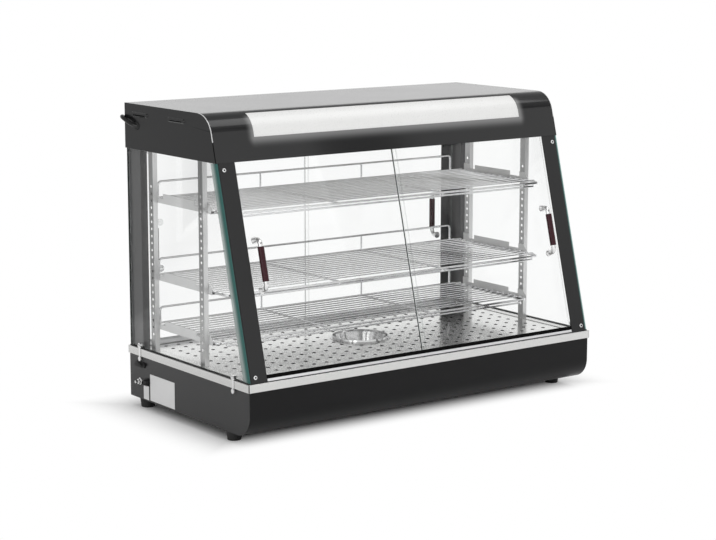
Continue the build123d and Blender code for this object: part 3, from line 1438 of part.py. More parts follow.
with BuildPart() as lamp_holders:
    for side in (-1, 1):
        with Locations((side * (lamp_half - HOLDER_SOCKET), lamp_y, z_ceiling)):
            Box(
                HOLDER_LENGTH,
                HOLDER_WIDTH,
                lamp_z + HOLDER_HEAD - z_ceiling,
                align=(Align.MIN if side > 0 else Align.MAX, Align.CENTER, Align.MIN),
            )
        with BuildSketch(Plane.YZ.offset(side * lamp_half)):
            with Locations((lamp_y, lamp_z)):
                Circle(LAMP_RADIUS + SCREW_CLEARANCE)
        extrude(amount=-side * HOLDER_SOCKET, mode=Mode.SUBTRACT)
save(lamp_holders.part, "lamp_holders")

with BuildPart() as lamp_driver:
    with Locations((DRIVER_X, body_y - DRIVER_REAR, z_ceiling)):
        Box(DRIVER_LENGTH, DRIVER_WIDTH, DRIVER_HEIGHT, align=(Align.CENTER, Align.CENTER, Align.MIN))
save(lamp_driver.part, "lamp_driver")

# Lamp lead: out of the canopy's left end, round the rear corner and into the left rear post


def bend_radii(route):
    """Radius at each inner point of a route, as large as its two runs allow."""
    radii = []
    for before, point, after in zip(route, route[1:], route[2:]):
        turn = math.radians((point - before).get_angle(after - point))
        run = min((point - before).length, (after - point).length)
        radii.append(min(BEND_SHARE * run / math.tan(turn / 2), BEND_LIMIT))
    return radii


lead_radii = [LEAD_EXIT_BEND] + bend_radii(lead_route)[1:-1] + [LEAD_ENTRY_BEND]
with BuildPart() as lamp_lead:
    with BuildLine() as lead_path:
        FilletPolyline(*lead_route, radius=lead_radii)
    with BuildSketch(Plane(origin=lead_path.wire() @ 0, z_dir=lead_path.wire() % 0)):
        Circle(LEAD_RADIUS)
    sweep(path=lead_path.wire())
save(lamp_lead.part, "lamp_lead")
lead_length = lead_path.wire().length
lead_volume = math.pi * LEAD_RADIUS**2 * lead_length
print("lead radii", [round(radius, 1) for radius in lead_radii])
print("lead length", round(lead_length, 1), "volume share", round(lamp_lead.part.volume / lead_volume, 4))

# Lead fittings: a grommet in the canopy's end plate, one in the post, and the base's blank bushing
canopy_seat = Plane(origin=lead_exit, x_dir=(0, -1, 0), z_dir=(-1, 0, 0))
post_seat = Plane(origin=lead_entry, x_dir=(-1, 0, 0), z_dir=(0, 1, 0))
bushing_seat = Plane(origin=(-body_x, bushing_y, bushing_z), x_dir=(0, -1, 0), z_dir=(-1, 0, 0))
with BuildPart() as lead_fittings:
    for seat, wall, stem, inside, heading in (
        (canopy_seat, SHEET, GROMMET_HOLE_RADIUS, lead_route[0], lead_out),
        (post_seat, PILLAR_SHEET, GROMMET_POST_RADIUS, lead_route[-1], lead_in),
    ):
        with BuildSketch(seat):
            Circle(stem + GROMMET_FLANGE)
        with BuildSketch(seat.offset(GROMMET_HEIGHT)):
            Circle(stem + GROMMET_BEAD)
        loft()
        with BuildSketch(seat):
            Circle(stem)
        extrude(amount=-wall)
        with BuildSketch(seat.offset(-wall)):
            Circle(stem + GROMMET_BEAD)
        extrude(amount=-GROMMET_LIP)
        with BuildSketch(Plane(origin=inside, z_dir=heading)):
            Circle(LEAD_RADIUS + LEAD_FIT)
        extrude(amount=2 * heading.length, mode=Mode.SUBTRACT)
    with BuildSketch(bushing_seat):
        SlotOverall(BUSHING_LENGTH, BUSHING_HEIGHT)
    extrude(amount=BUSHING_PLATE)
    with BuildSketch(bushing_seat):
        SlotOverall(BUSHING_LENGTH - 2 * BUSHING_MARGIN, BUSHING_HEIGHT - 2 * BUSHING_MARGIN)
    extrude(amount=-SHEET - GROMMET_LIP)
    with BuildSketch(bushing_seat.offset(BUSHING_PLATE)):
        with GridLocations(BUSHING_NIPPLE_PITCH, 0, 2, 1):
            Circle(BUSHING_NIPPLE_RADIUS)
    with BuildSketch(bushing_seat.offset(BUSHING_PLATE + BUSHING_NIPPLE_HEIGHT)):
        with GridLocations(BUSHING_NIPPLE_PITCH, 0, 2, 1):
            Circle(BUSHING_NIPPLE_TIP)
    loft()
save(lead_fittings.part, "lead_fittings")
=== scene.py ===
# %% [markdown]
# # Heated display case
# A counter-top warmer: a black base and canopy, a bright steel trim between base and glass, leaning
# sliding doors, three wire shelves and a perforated warm floor with a water bowl. The solids come
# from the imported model, so every piece here is made in metres in the same frame and rides on one of
# its bodies. This lesson adds the finishes, the fine edges and the small parts.

# %% Load the frame
import json
import math

import bmesh
import bpy
from mathutils import Matrix, Vector
from mathutils.bvhtree import BVHTree

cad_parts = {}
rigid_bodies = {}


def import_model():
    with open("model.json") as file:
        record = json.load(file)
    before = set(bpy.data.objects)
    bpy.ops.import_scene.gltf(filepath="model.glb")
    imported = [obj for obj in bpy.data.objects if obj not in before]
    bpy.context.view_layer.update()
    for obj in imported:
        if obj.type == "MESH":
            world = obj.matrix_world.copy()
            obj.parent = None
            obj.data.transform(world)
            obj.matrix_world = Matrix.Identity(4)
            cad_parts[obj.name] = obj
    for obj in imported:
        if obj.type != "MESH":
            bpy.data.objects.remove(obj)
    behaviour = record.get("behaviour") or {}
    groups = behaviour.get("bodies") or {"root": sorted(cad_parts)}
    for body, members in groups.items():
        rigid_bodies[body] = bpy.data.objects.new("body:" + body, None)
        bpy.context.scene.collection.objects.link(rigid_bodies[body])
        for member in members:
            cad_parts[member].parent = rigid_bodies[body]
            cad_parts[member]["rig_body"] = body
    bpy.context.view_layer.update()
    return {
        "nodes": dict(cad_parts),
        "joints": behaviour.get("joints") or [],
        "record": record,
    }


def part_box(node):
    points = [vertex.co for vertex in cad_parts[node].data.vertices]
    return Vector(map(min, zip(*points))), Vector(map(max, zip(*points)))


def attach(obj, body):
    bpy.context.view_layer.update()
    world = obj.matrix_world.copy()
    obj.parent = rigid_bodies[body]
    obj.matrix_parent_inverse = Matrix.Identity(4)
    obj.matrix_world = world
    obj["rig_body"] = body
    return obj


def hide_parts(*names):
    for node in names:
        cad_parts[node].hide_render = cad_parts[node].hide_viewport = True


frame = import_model()
nodes = frame["nodes"]
scene = bpy.context.scene

# %% [markdown]
# ## Camera
# The picture was taken from the front left, a little above the case, with a long lens. A matrix could
# place the camera, but two angles, a distance and the point it looks at say it more plainly. The focal
# length was fitted in pixels of the picture and is turned into millimetres of a 36 mm sensor.

# %% Camera at the photograph's place
PICTURE_WIDTH = 716
SENSOR_MM = 36.0
FOCAL_PIXELS = 1975.5
YAW = math.radians(36.22)
PITCH = math.radians(10.02)
DISTANCE = 4.275
AIM = Vector((-0.0128, 0.0, 0.2822))
VIEW_END = 100.0
PANES_IN_LINE = 32


def linked(name, data):
    """A new object in the scene."""
    thing = bpy.data.objects.new(name, data)
    scene.collection.objects.link(thing)
    return thing


look = Vector((math.sin(YAW) * math.cos(PITCH), math.cos(YAW) * math.cos(PITCH), -math.sin(PITCH)))
camera_data = bpy.data.cameras.new("photo_camera")
camera_data.sensor_width = SENSOR_MM
camera_data.lens = FOCAL_PIXELS / PICTURE_WIDTH * SENSOR_MM
camera_data.clip_end = VIEW_END
camera = linked("photo_camera", camera_data)
camera.location = AIM - DISTANCE * look
camera.rotation_euler = look.to_track_quat("-Z", "Y").to_euler()
scene.camera = camera
scene.view_settings.view_transform = "Standard"
scene.cycles.transparent_max_bounces = PANES_IN_LINE
print("lens", round(camera_data.lens, 1), "mm")

# %% [markdown]
# ## Node trees in plain Python
# Finishes and repeated parts are both node trees. They could be drawn in the node editor, but a sum is
# easier to read than a chain of boxes. So one small class wraps a socket, a sum on it adds a Math node,
# and one method adds any other node: first its settings, then its sockets.


# %% Sockets that can be added up
class Wire:
    """An output socket; a sum on it adds a Math node to its tree."""

    def __init__(self, owner, socket):
        self.owner = owner
        self.socket = socket

    def math(self, operation, first, second):
        return self.owner.node("ShaderNodeMath", {"operation": operation}, {0: first, 1: second})

    def __add__(self, other):
        return self.math("ADD", self, other)

    def __sub__(self, other):
        return self.math("SUBTRACT", self, other)

    def __rsub__(self, other):
        return self.math("SUBTRACT", other, self)

    def __mul__(self, other):
        return self.math("MULTIPLY", self, other)

    def __pow__(self, other):
        return self.math("POWER", self, other)

    def __gt__(self, other):
        return self.math("GREATER_THAN", self, other)

    def __abs__(self):
        return self.math("ABSOLUTE", self, 0.0)

    def least(self, other):
        return self.math("MINIMUM", self, other)

    def most(self, other):
        return self.math("MAXIMUM", self, other)

    __radd__ = __add__
    __rmul__ = __mul__


# %% A tree that takes nodes
class Tree:
    """Adds nodes to a shader or geometry tree."""

    def __init__(self, tree):
        self.tree = tree

    def node(self, kind, settings=None, sockets=None, out=0):
        made = self.tree.nodes.new(kind)
        for key, value in (settings or {}).items():
            setattr(made, key, value)
        for key, value in (sockets or {}).items():
            for wire in value if isinstance(value, list) else [value]:
                if isinstance(wire, Wire):
                    self.tree.links.new(wire.socket, made.inputs[key])
                else:
                    made.inputs[key].default_value = wire
        return Wire(self, made.outputs[out]) if made.outputs else made


# %% A finish is a material made of nodes
class Finish(Tree):
    """A procedural material that reads object coordinates."""

    def __init__(self, name):
        self.material = bpy.data.materials.new(name)
        self.material.use_nodes = True
        super().__init__(self.material.node_tree)
        self.tree.nodes.clear()
        self.place = self.node("ShaderNodeTexCoord", out="Object")

    def axis(self, name):
        return self.node("ShaderNodeSeparateXYZ", None, {0: self.place}, out=name)

    def grain(self, cells, detail=2.0):
        """Noise with so many cells per metre along each axis."""
        spread = self.node("ShaderNodeVectorMath", {"operation": "MULTIPLY"}, {0: self.place, 1: cells})
        return self.node("ShaderNodeTexNoise", None, {"Vector": spread, "Scale": 1.0, "Detail": detail})

    def facing(self):
        """0 where the surface faces the eye and 1 where it is seen edge on."""
        return self.node("ShaderNodeLayerWeight", None, {"Blend": 0.5}, out="Facing")

    def blend(self, first, second, share):
        """A colour that goes from first to second as share goes from 0 to 1."""
        colours = {0: share, 6: (*first, 1.0), 7: (*second, 1.0)}
        return self.node("ShaderNodeMix", {"data_type": "RGBA"}, colours, out=2)

    def pick(self, first, second, share):
        """A value that goes from first to second as share goes from 0 to 1."""
        return self.node("ShaderNodeMix", None, {0: share, 2: first, 3: second})

    def ease(self, value, low, high):
        """A soft step from 0 at low to 1 at high."""
        return self.node("ShaderNodeMapRange", {"interpolation_type": "SMOOTHSTEP"},
                         {"Value": value, "From Min": low, "From Max": high})

    def bump(self, height, depth):
        return self.node("ShaderNodeBump", None, {"Distance": depth, "Height": height})

    def wear(self, sockets):
        """Close the tree with a Principled shader and give the material."""
        return self.close(self.node("ShaderNodeBsdfPrincipled", None, sockets))

    def close(self, shader):
        self.node("ShaderNodeOutputMaterial", None, {"Surface": shader})
        return self.material


# %% [markdown]
# ## Stage
# The case stands on a pale floor in a white room. Paper swept up behind it would bend the shadow. Here
# the floor is matt white under the case and close to its ends, so it keeps the shadow, and further out
# it fades into the white that the camera, metal and glass see, which hides its end. The world lights
# matt surfaces more softly than it shows itself.

# %% White room
ROOM_LIGHT = 0.62
WHITE = (1.0, 1.0, 1.0, 1.0)


def ray_kinds(owner):
    """Two shares: rays from the camera, and rays in gloss or through glass."""
    seen = owner.node("ShaderNodeLightPath", out="Is Camera Ray")
    gloss = owner.node("ShaderNodeLightPath", out="Is Glossy Ray")
    gloss = gloss + owner.node("ShaderNodeLightPath", out="Is Transmission Ray")
    return seen, gloss.least(1.0 - seen)


room = bpy.data.worlds.new("white_room")
room.use_nodes = True
room_tree = Tree(room.node_tree)
room_tree.tree.nodes.clear()
seen, gloss = ray_kinds(room_tree)
room_strength = (seen + gloss) * (1.0 - ROOM_LIGHT) + ROOM_LIGHT
room_glow = room_tree.node("ShaderNodeBackground", None, {"Color": WHITE, "Strength": room_strength})
room_tree.node("ShaderNodeOutputWorld", None, {"Surface": room_glow})
scene.world = room
print("room light", ROOM_LIGHT)

# %% Floor that keeps the shadow
FLOOR_HALF = 9.0
FLOOR_PAINT = (0.95, 0.95, 0.95, 1.0)
CASE_HALF = (0.45, 0.235)
FRONT_FADE = (-0.115, 0.005)
END_FADE = (-0.04, 0.115)
FAR_FADE = (0.7, 1.5)
SQUARE = ((-1, -1), (1, -1), (1, 1), (-1, 1))


def card(name, corners, material):
    """A flat sheet of the stage between four corners."""
    mesh = bpy.data.meshes.new(name)
    mesh.from_pydata(corners, [], [(0, 1, 2, 3)])
    mesh.materials.append(material)
    sheet = linked(name, mesh)
    return sheet


pale = Finish("pale_floor")
across = pale.axis("Y")
front_gap = -CASE_HALF[1] - across
end_gap = (abs(pale.axis("X")) - CASE_HALF[0]).most(across - CASE_HALF[1])
fade = pale.ease(front_gap, *FRONT_FADE).most(pale.ease(end_gap, *END_FADE))
reach = pale.node("ShaderNodeVectorMath", {"operation": "LENGTH"}, {0: pale.place}, out="Value")
seen, gloss = ray_kinds(pale)
share = fade * seen + pale.ease(reach, *FAR_FADE) * gloss
matt = pale.node("ShaderNodeBsdfDiffuse", None, {"Color": FLOOR_PAINT})
white = pale.node("ShaderNodeEmission", None, {"Color": WHITE, "Strength": 1.0})
pale.close(pale.node("ShaderNodeMixShader", None, {0: share, 1: matt, 2: white}))
card("floor", [(x * FLOOR_HALF, y * FLOOR_HALF, 0.0) for x, y in SQUARE], pale.material)
print("floor", 2 * FLOOR_HALF, "m wide")

# %% [markdown]
# ## Dark cards and lamps
# Bright metal only looks like metal when it mirrors something dark as well. A darker world would dim
# everything, so, as in a photographer's room, a dim ceiling hangs over the table, and a grey card
# stands beyond the left rear corner and another to the right of the front. They show in gloss alone:
# the camera, the glass and the soft light pass them by. Three large lamps give the shadow its shape.

# %% Cards that only gloss can see
CEILING_HALF = 4.5
CEILING_HEIGHT = 3.0


def upright(left, right, height):
    """Corners of a card that stands on the floor between two points."""
    return [(*left, 0.0), (*right, 0.0), (*right, height), (*left, height)]


# Each card has its grey level and its corners.
CARDS = {
    "dim_ceiling": (0.34, [(x * CEILING_HALF, y * CEILING_HALF, CEILING_HEIGHT) for x, y in SQUARE]),
    "left_card": (0.46, upright((-1.75, 0.35), (-0.55, 1.35), 1.4)),
    "front_card": (0.13, upright((1.5, -2.4), (4.5, -2.4), 2.9)),
}
for card_name, (level, corners) in CARDS.items():
    shade = Finish(card_name)
    shade_colour = (level, level, level, 1.0)
    shade.close(shade.node("ShaderNodeEmission", None, {"Color": shade_colour, "Strength": 1.0}))
    sheet = card(card_name, corners, shade.material)
    for kind in ("camera", "diffuse", "transmission", "shadow"):
        setattr(sheet, "visible_" + kind, False)
print("cards", len(CARDS))

# %% Soft lamps
# Each lamp has its place, the point it looks at, its width and depth, and its power in watts.
LAMPS = {
    "overhead": ((0.3, -0.8, 2.4), (0.0, 0.0, 0.2), (3.2, 1.1), 20.0),
    "left_key": ((-2.6, -1.2, 1.5), (0.0, 0.0, 0.3), (1.6, 1.6), 10.0),
    "right_fill": ((2.2, -2.2, 1.2), (0.0, 0.0, 0.3), (1.4, 1.4), 5.0),
}
for lamp_name, (spot, target, size, power) in LAMPS.items():
    lamp_data = bpy.data.lights.new(lamp_name, "AREA")
    lamp_data.shape = "RECTANGLE"
    lamp_data.size, lamp_data.size_y = size
    lamp_data.energy = power
    lamp = linked(lamp_name, lamp_data)
    lamp.location = spot
    lamp.rotation_euler = (Vector(target) - Vector(spot)).to_track_quat("-Z", "Y").to_euler()
print("lamps", len(LAMPS))

# %% [markdown]
# ## Enamel
# Base, canopy, pillars and posts are sprayed with enamel: dull when faced, glossy at a glance, with a
# faint peel. A flat colour would look like paper, and a texture would need a picture, so noise in
# object coordinates gives the cloud and the peel, and a clear coat that follows the facing angle gives
# the gloss. The lit lens also brightens the enamel beside it. A real lamp there would need many samples,
# so the glow is a soft emission that fades with the distance from the lens.

# %% Glow round the lens
LENS_LAP = 0.008
GLOW_REACH = 0.027
GLOW_LEVEL = 0.19
SIDE_FADING = 1.5
ROOF_START = (0.636, 0.646)
GLOW_REAR = (-0.05, -0.02)
lens_low, lens_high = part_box("light_lens")
LENS_HALF = lens_high.x - LENS_LAP
LENS_FOOT = lens_low.z + LENS_LAP


def lens_glow(coat):
    """Light that the lit lens spreads over the enamel next to it, strongest at its edge."""
    beside = (abs(coat.axis("X")) - LENS_HALF).most(0.0)
    below = (LENS_FOOT - coat.axis("Z")).most(0.0)
    gap = (beside * beside * SIDE_FADING + below * below) ** 0.5
    share = 1.0 - coat.ease(gap, 0.0, GLOW_REACH)
    ahead = 1.0 - coat.ease(coat.axis("Y"), *GLOW_REAR)
    return share * share * ahead * (1.0 - coat.ease(coat.axis("Z"), *ROOF_START))


print("lens opening", round(2 * LENS_HALF, 3), "m wide")

# %% Enamel in five glosses
ENAMEL_BLACK = ((0.006, 0.006, 0.0065), (0.009, 0.009, 0.0095))
ENAMEL_GREY = ((0.100, 0.100, 0.101), (0.115, 0.115, 0.116))
CLOUD_CELLS = (5.0, 5.0, 5.0)
PEEL_CELLS = (380.0, 380.0, 380.0)
PEEL_DEPTH = 0.00003
GLANCE_COAT = 0.58


def grey(level):
    """A neutral colour of one level."""
    return (level, level, level)


def enamel(name, gloss, tones=ENAMEL_BLACK, ior=1.25, lit=False):
    """Sprayed enamel; gloss is its coat where it is faced, and lit adds the lens's glow."""
    coat = Finish(name)
    cloud = coat.grain(CLOUD_CELLS)
    peel = coat.grain(PEEL_CELLS, detail=1.0)
    sockets = {
        "Base Color": coat.blend(*tones, cloud),
        "Roughness": coat.pick(0.26, 0.34, cloud),
        "IOR": ior,
        "Coat Weight": coat.facing() ** 2.0 * (GLANCE_COAT - gloss) + gloss,
        "Coat Roughness": 0.1,
        "Normal": coat.bump(peel, PEEL_DEPTH),
    }
    if lit:
        sockets["Emission Color"] = coat.blend(grey(0.0), grey(GLOW_LEVEL), lens_glow(coat))
        sockets["Emission Strength"] = 1.0
    return coat.wear(sockets)


finish = {
    "enamel": enamel("black_enamel", 0.1, ior=1.22),
    "canopy_enamel": enamel("canopy_enamel", 0.58, ior=1.32, lit=True),
    "end_enamel": enamel("end_enamel", 0.5, ior=1.3),
    "pillar_enamel": enamel("pillar_enamel", 0.47, ior=1.28),
    "grey_enamel": enamel("grey_enamel", 0.3, tones=ENAMEL_GREY),
}
print("enamels", len(finish))

# %% [markdown]
# ## Rubber, plastics and dull plates
# Feet, gaskets, knob and switches come out of moulds whose walls are spark eroded, which leaves a fine
# even grain. Modelling it would take millions of faces, so a noise of about a millimetre drives the
# roughness and a shallow bump. The opal lens, the zinc brackets and the blank plates have the same
# build with a much smoother grain.

# %% Moulded finishes
MOULD_CLOUD = (30.0, 30.0, 30.0)
SMOOTH = 0.00001


def moulded(name, dark, light, roughness, cells=900.0, depth=0.00005, ior=1.5):
    """Moulded rubber or plastic with a fine spark-eroded grain."""
    skin = Finish(name)
    cloud = skin.grain(MOULD_CLOUD)
    spark = skin.grain((cells, cells, cells), detail=1.0)
    return skin.wear({
        "Base Color": skin.blend(dark, light, cloud),
        "Roughness": skin.pick(roughness - 0.05, roughness + 0.07, spark),
        "IOR": ior,
        "Normal": skin.bump(spark, depth),
    })


finish.update({
    # Also the thin line of painted shade at the foot of the front track.
    "rubber": moulded("black_rubber", grey(0.008), grey(0.016), 0.6),
    "sheath": moulded("lead_sheath", grey(0.005), grey(0.008), 0.24),
    "black_plastic": moulded("black_plastic", (0.012, 0.012, 0.013), (0.02, 0.02, 0.021), 0.38),
    "white_plastic": moulded("white_plastic", (0.76, 0.75, 0.72), (0.82, 0.81, 0.78), 0.4),
    "opal": moulded("opal_lens", (0.80, 0.80, 0.79), (0.84, 0.84, 0.83), 0.28, cells=300.0, depth=SMOOTH),
    "amber": moulded("amber_lamp", (0.75, 0.18, 0.01), (0.85, 0.26, 0.02), 0.18),
    "zinc": moulded("zinc_bracket", grey(0.70), grey(0.80), 0.36, cells=300.0, depth=SMOOTH),
    # The plate finish also paints the highlight on the canopy's rolled rim.
    "plate": moulded("blank_plate", grey(0.72), grey(0.78), 0.34, cells=400.0, depth=SMOOTH),
    # Dark joints; on the pillars' inner faces and in the screw sockets this finish is painted shade.
    "seam": moulded("dark_seam", grey(0.003), grey(0.005), 0.7, ior=1.12),
})
print("finishes", sorted(finish))

# %% [markdown]
# ## Steel and chrome
# Rolled sheet has long fine lines, and chrome on drawn wire is nearly a mirror. An anisotropic shader
# could stretch the highlights, but a noise that is stretched along the rolling direction also shows
# the lines themselves. It feeds colour, roughness and a very shallow bump.

# %% Metals
LENGTHWISE = (6.0, 900.0, 900.0)
UPWARDS = (700.0, 700.0, 8.0)
SHEET_CLOUD = (7.0, 7.0, 7.0)
PLATING_CLOUD = (60.0, 60.0, 60.0)
LINE_DEPTH = 0.000012


def brushed(name, dark, light, roughness, lines):
    """Rolled sheet with fine lines: lines gives the cells per metre along X, Y and Z."""
    sheet = Finish(name)
    streak = sheet.grain(lines, detail=3.0)
    cloud = sheet.grain(SHEET_CLOUD)
    return sheet.wear({
        "Base Color": sheet.blend(dark, light, streak),
        "Metallic": 1.0,
        "Roughness": sheet.pick(roughness - 0.06, roughness + 0.08, streak * 0.6 + cloud * 0.4),
        "Normal": sheet.bump(streak, LINE_DEPTH),
    })


def plated(name, dark, light, roughness):
    """Bright plating over drawn wire or turned parts."""
    plate = Finish(name)
    cloud = plate.grain(PLATING_CLOUD)
    return plate.wear({
        "Base Color": plate.blend(dark, light, cloud),
        "Metallic": 1.0,
        "Roughness": plate.pick(roughness - 0.03, roughness + 0.04, cloud),
    })


finish.update({
    "deck_steel": brushed("deck_steel", (0.67, 0.67, 0.66), (0.78, 0.78, 0.77), 0.16, LENGTHWISE),
    "trim_steel": brushed("trim_steel", (0.68, 0.68, 0.67), (0.78, 0.78, 0.77), 0.22, LENGTHWISE),
    "rail_steel": brushed("rail_steel", grey(0.66), grey(0.78), 0.28, UPWARDS),
    # Darker steel for the pilasters' flanks: painted shade.
    "flank_steel": brushed("flank_steel", grey(0.42), grey(0.54), 0.28, UPWARDS),
    "anodised": brushed("anodised_track", (0.76, 0.76, 0.77), (0.84, 0.84, 0.85), 0.3, (5.0, 600.0, 600.0)),
    "chrome": plated("chrome_wire", (0.82, 0.82, 0.83), (0.92, 0.92, 0.93), 0.09),
    "polished": plated("polished_steel", grey(0.80), grey(0.88), 0.12),
    "tinted_steel": plated("tinted_element", (0.16, 0.12, 0.10), (0.27, 0.22, 0.18), 0.38),
    "bowl_steel": brushed("bowl_steel", grey(0.58), grey(0.68), 0.12, (60.0, 60.0, 700.0)),
    # Near-black for the walls and rims of the deck's holes: painted shade.
    "drilled": plated("drilled_edge", grey(0.02), grey(0.04), 0.5),
    "ledge": plated("shaded_ledge", grey(0.10), grey(0.15), 0.4),
})
print("finishes", len(finish))

# %% [markdown]
# ## Glass
# A pane lets light straight through its faces and gathers green at its ground edges. A refracting
# shader would do both at once, but its thin panes turn noisy and their shadows dark. So a face mixes
# plain transparency with a mirror that grows at a glance, and the edges have finishes of their own:
# the green of the glass, painted shade where an edge looks dark, and a painted highlight where it
# looks bright.

# %% Panes and their edges
MIRROR_FACED = 0.012
MIRROR_GAIN = 0.6
EDGE_CLOUD = (40.0, 40.0, 12.0)
EDGE_ROUGHNESS = 0.18
TEAL_SPAN = (0.4415, 0.4475)


def pane_face(name, tint):
    """A flat pane lets light straight through and mirrors more at a glancing look."""
    pane = Finish(name)
    mirror = pane.facing() ** 5.0 * MIRROR_GAIN + MIRROR_FACED
    clear = pane.node("ShaderNodeBsdfTransparent", None, {"Color": (*tint, 1.0)})
    gloss = pane.node("ShaderNodeBsdfGlossy", None, {"Color": WHITE, "Roughness": 0.02})
    return pane.close(pane.node("ShaderNodeMixShader", None, {0: mirror, 1: clear, 2: gloss}))


def pane_edge(name, dark, light, share=1.0):
    """An edge in one flat colour: the green of the glass, painted shade or a painted highlight; share says
    how much of it hides what is behind.
    """
    edge = Finish(name)
    return edge.wear({
        "Base Color": edge.blend(dark, light, edge.grain(EDGE_CLOUD)),
        "Roughness": EDGE_ROUGHNESS,
        "Coat Weight": 0.4,
        "Alpha": share,
    })


finish.update({
    "pane": pane_face("clear_pane", (0.993, 0.995, 0.994)),
    # Near-black edge: painted shade.
    "dark_edge": pane_edge("dark_edge", (0.006, 0.012, 0.012), (0.01, 0.02, 0.02)),
    "pale_edge": pane_edge("pale_edge", (0.62, 0.70, 0.68), (0.70, 0.76, 0.74), share=0.2),
    # Near-white edge: a painted highlight.
    "bright_edge": pane_edge("bright_edge", (0.78, 0.82, 0.81), (0.86, 0.88, 0.87)),
})
# The right pane's front edge is deep green inside and pale where the light leaves it.
teal = Finish("teal_edge")
outside = teal.ease(abs(teal.axis("X")), *TEAL_SPAN)
finish["teal_edge"] = teal.wear({
    "Base Color": teal.blend((0.018, 0.070, 0.062), (0.46, 0.72, 0.68), outside),
    "Roughness": EDGE_ROUGHNESS,
    "Coat Weight": 0.3,
})
print("finishes", len(finish))

# %% [markdown]
# ## Grips
# Each handle has a brown sleeve under a thin lacquer. A plain brown would look like plastic, so a long
# fibre changes the colour and fine pores roughen the lacquer. Both run along the upright sleeve.

# %% Lacquered grips
FIBRE_CELLS = (60.0, 60.0, 9.0)
PORE_CELLS = (900.0, 900.0, 40.0)
PORE_DEPTH = 0.00003

grip = Finish("brown_lacquer")
pore = grip.grain(PORE_CELLS, detail=1.0)
fibre = grip.grain(FIBRE_CELLS, detail=4.0)
finish["grip"] = grip.wear({
    "Base Color": grip.blend((0.020, 0.003, 0.006), (0.058, 0.009, 0.016), fibre),
    "Roughness": grip.pick(0.2, 0.34, pore),
    "IOR": 1.3,
    "Coat Weight": 0.1,
    "Coat Roughness": 0.08,
    "Normal": grip.bump(pore, PORE_DEPTH),
})
print("finishes", len(finish))

# %% [markdown]
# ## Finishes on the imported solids
# Most solids keep their shape and only get a finish. Sixty lines could say so, but a table by finish is
# easier to check against the picture. Every node that it leaves out is black enamel.

# %% Give each solid its finish
DOORS = ("front_left", "front_right", "rear_left", "rear_right")
SHELVES = ("upper_shelf", "middle_shelf", "lower_shelf")
WORN = {
    "canopy_enamel": ["canopy_shell"],
    "end_enamel": ["canopy_side_left", "canopy_side_right", "base_side_left", "base_side_right"],
    "pillar_enamel": ["front_pillar_left", "front_pillar_right"],
    "grey_enamel": ["rear_post_left", "rear_post_right"],
    "deck_steel": ["deck_plate"],
    "bowl_steel": ["water_bowl"],
    "trim_steel": ["trim_frame"],
    "rail_steel": ["shelf_pilasters", "reflector_plate", "thermostat"],
    "zinc": ["shelf_brackets"],
    "anodised": ["front_lower_track", "front_upper_track", "rear_lower_track", "rear_upper_track"],
    "chrome": SHELVES,
    "polished": ["glass_clips", "pillar_screws", "bonding_stud", *(door + "_handle" for door in DOORS)],
    "grip": [door + "_grip" for door in DOORS],
    "rubber": ["rubber_feet", "side_gaskets", "lead_fittings"],
    "sheath": ["lamp_lead"],
    "black_plastic": ["thermostat_knob", "switch_bodies", "heat_rocker", "light_rocker", "cable_gland"],
    "white_plastic": ["lamp_holders", "lamp_driver", "terminal_block", "ceiling_panel"],
    "opal": ["light_lens", "lamp_tube"],
    "tinted_steel": ["heating_elements"],
    "amber": ["indicator_lamp"],
    "plate": ["blank_plates"],
}
worn_by = {node: name for name, members in WORN.items() for node in members}
for node_name, solid in nodes.items():
    solid.data.materials.clear()
    solid.data.materials.append(finish[worn_by.get(node_name, "enamel")])
print("solids dressed", len(nodes))

# %% [markdown]
# ## Lamp lead
# A round black lead carries the lamp's current from the canopy into the left rear post. It leaves the
# canopy's left end through a grommet, turns round the rear corner and goes into the post through a
# second grommet. Straight runs with rounded corners would look like bent wire, so a NURBS curve with
# the route's points as its control points gives the easy bends of a real lead.

# %% The lead as a curve
LEAD_DIAMETER = 0.0086
LEAD_ROUTE = [
    (-0.4335, 0.1720, 0.6010),
    (-0.4450, 0.1835, 0.6048),
    (-0.4560, 0.1960, 0.6090),
    (-0.4565, 0.2425, 0.6250),
    (-0.4324, 0.2432, 0.6140),
    (-0.4324, 0.2432, 0.5458),
    (-0.4324, 0.2290, 0.5428),
    (-0.4324, 0.2115, 0.5390),
]
lead_curve = bpy.data.curves.new("lamp_lead_cord", "CURVE")
lead_curve.dimensions = "3D"
lead_curve.bevel_depth = LEAD_DIAMETER / 2
lead_curve.bevel_resolution = 5
lead_curve.resolution_u = 16
lead_curve.use_fill_caps = True
lead_line = lead_curve.splines.new("NURBS")
lead_line.points.add(len(LEAD_ROUTE) - 1)
for point, place in zip(lead_line.points, LEAD_ROUTE):
    point.co = (*place, 1.0)
lead_line.order_u = 3
lead_line.use_endpoint_u = True
lead_curve.materials.append(finish["sheath"])
lead = linked("lamp_lead_cord", lead_curve)
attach(lead, "case")
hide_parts("lamp_lead")
print("lead points", len(LEAD_ROUTE))

# %% [markdown]
# ## Eased edges
# No folded sheet or glass pane has a knife edge: the press or the grindstone takes it off, and that
# thin flank is what catches the light along every corner. A bevel in the shader would fake it, but the
# outline would stay sharp. So a copy of a solid is merged, its flat faces are joined, and a Bevel
# modifier takes the edge off. Weighted normals then keep the flats flat.

# %% Plain meshes and cuts
WELD_DISTANCE = 1e-6


def settled_mesh(thing):
    """A thing's shape with its modifiers, as a new plain mesh."""
    return bpy.data.meshes.new_from_object(thing.evaluated_get(bpy.context.evaluated_depsgraph_get()))


def bake(thing):
    """Turn a thing's modifiers into plain mesh."""
    mesh = settled_mesh(thing)
    thing.modifiers.clear()
    thing.data = mesh


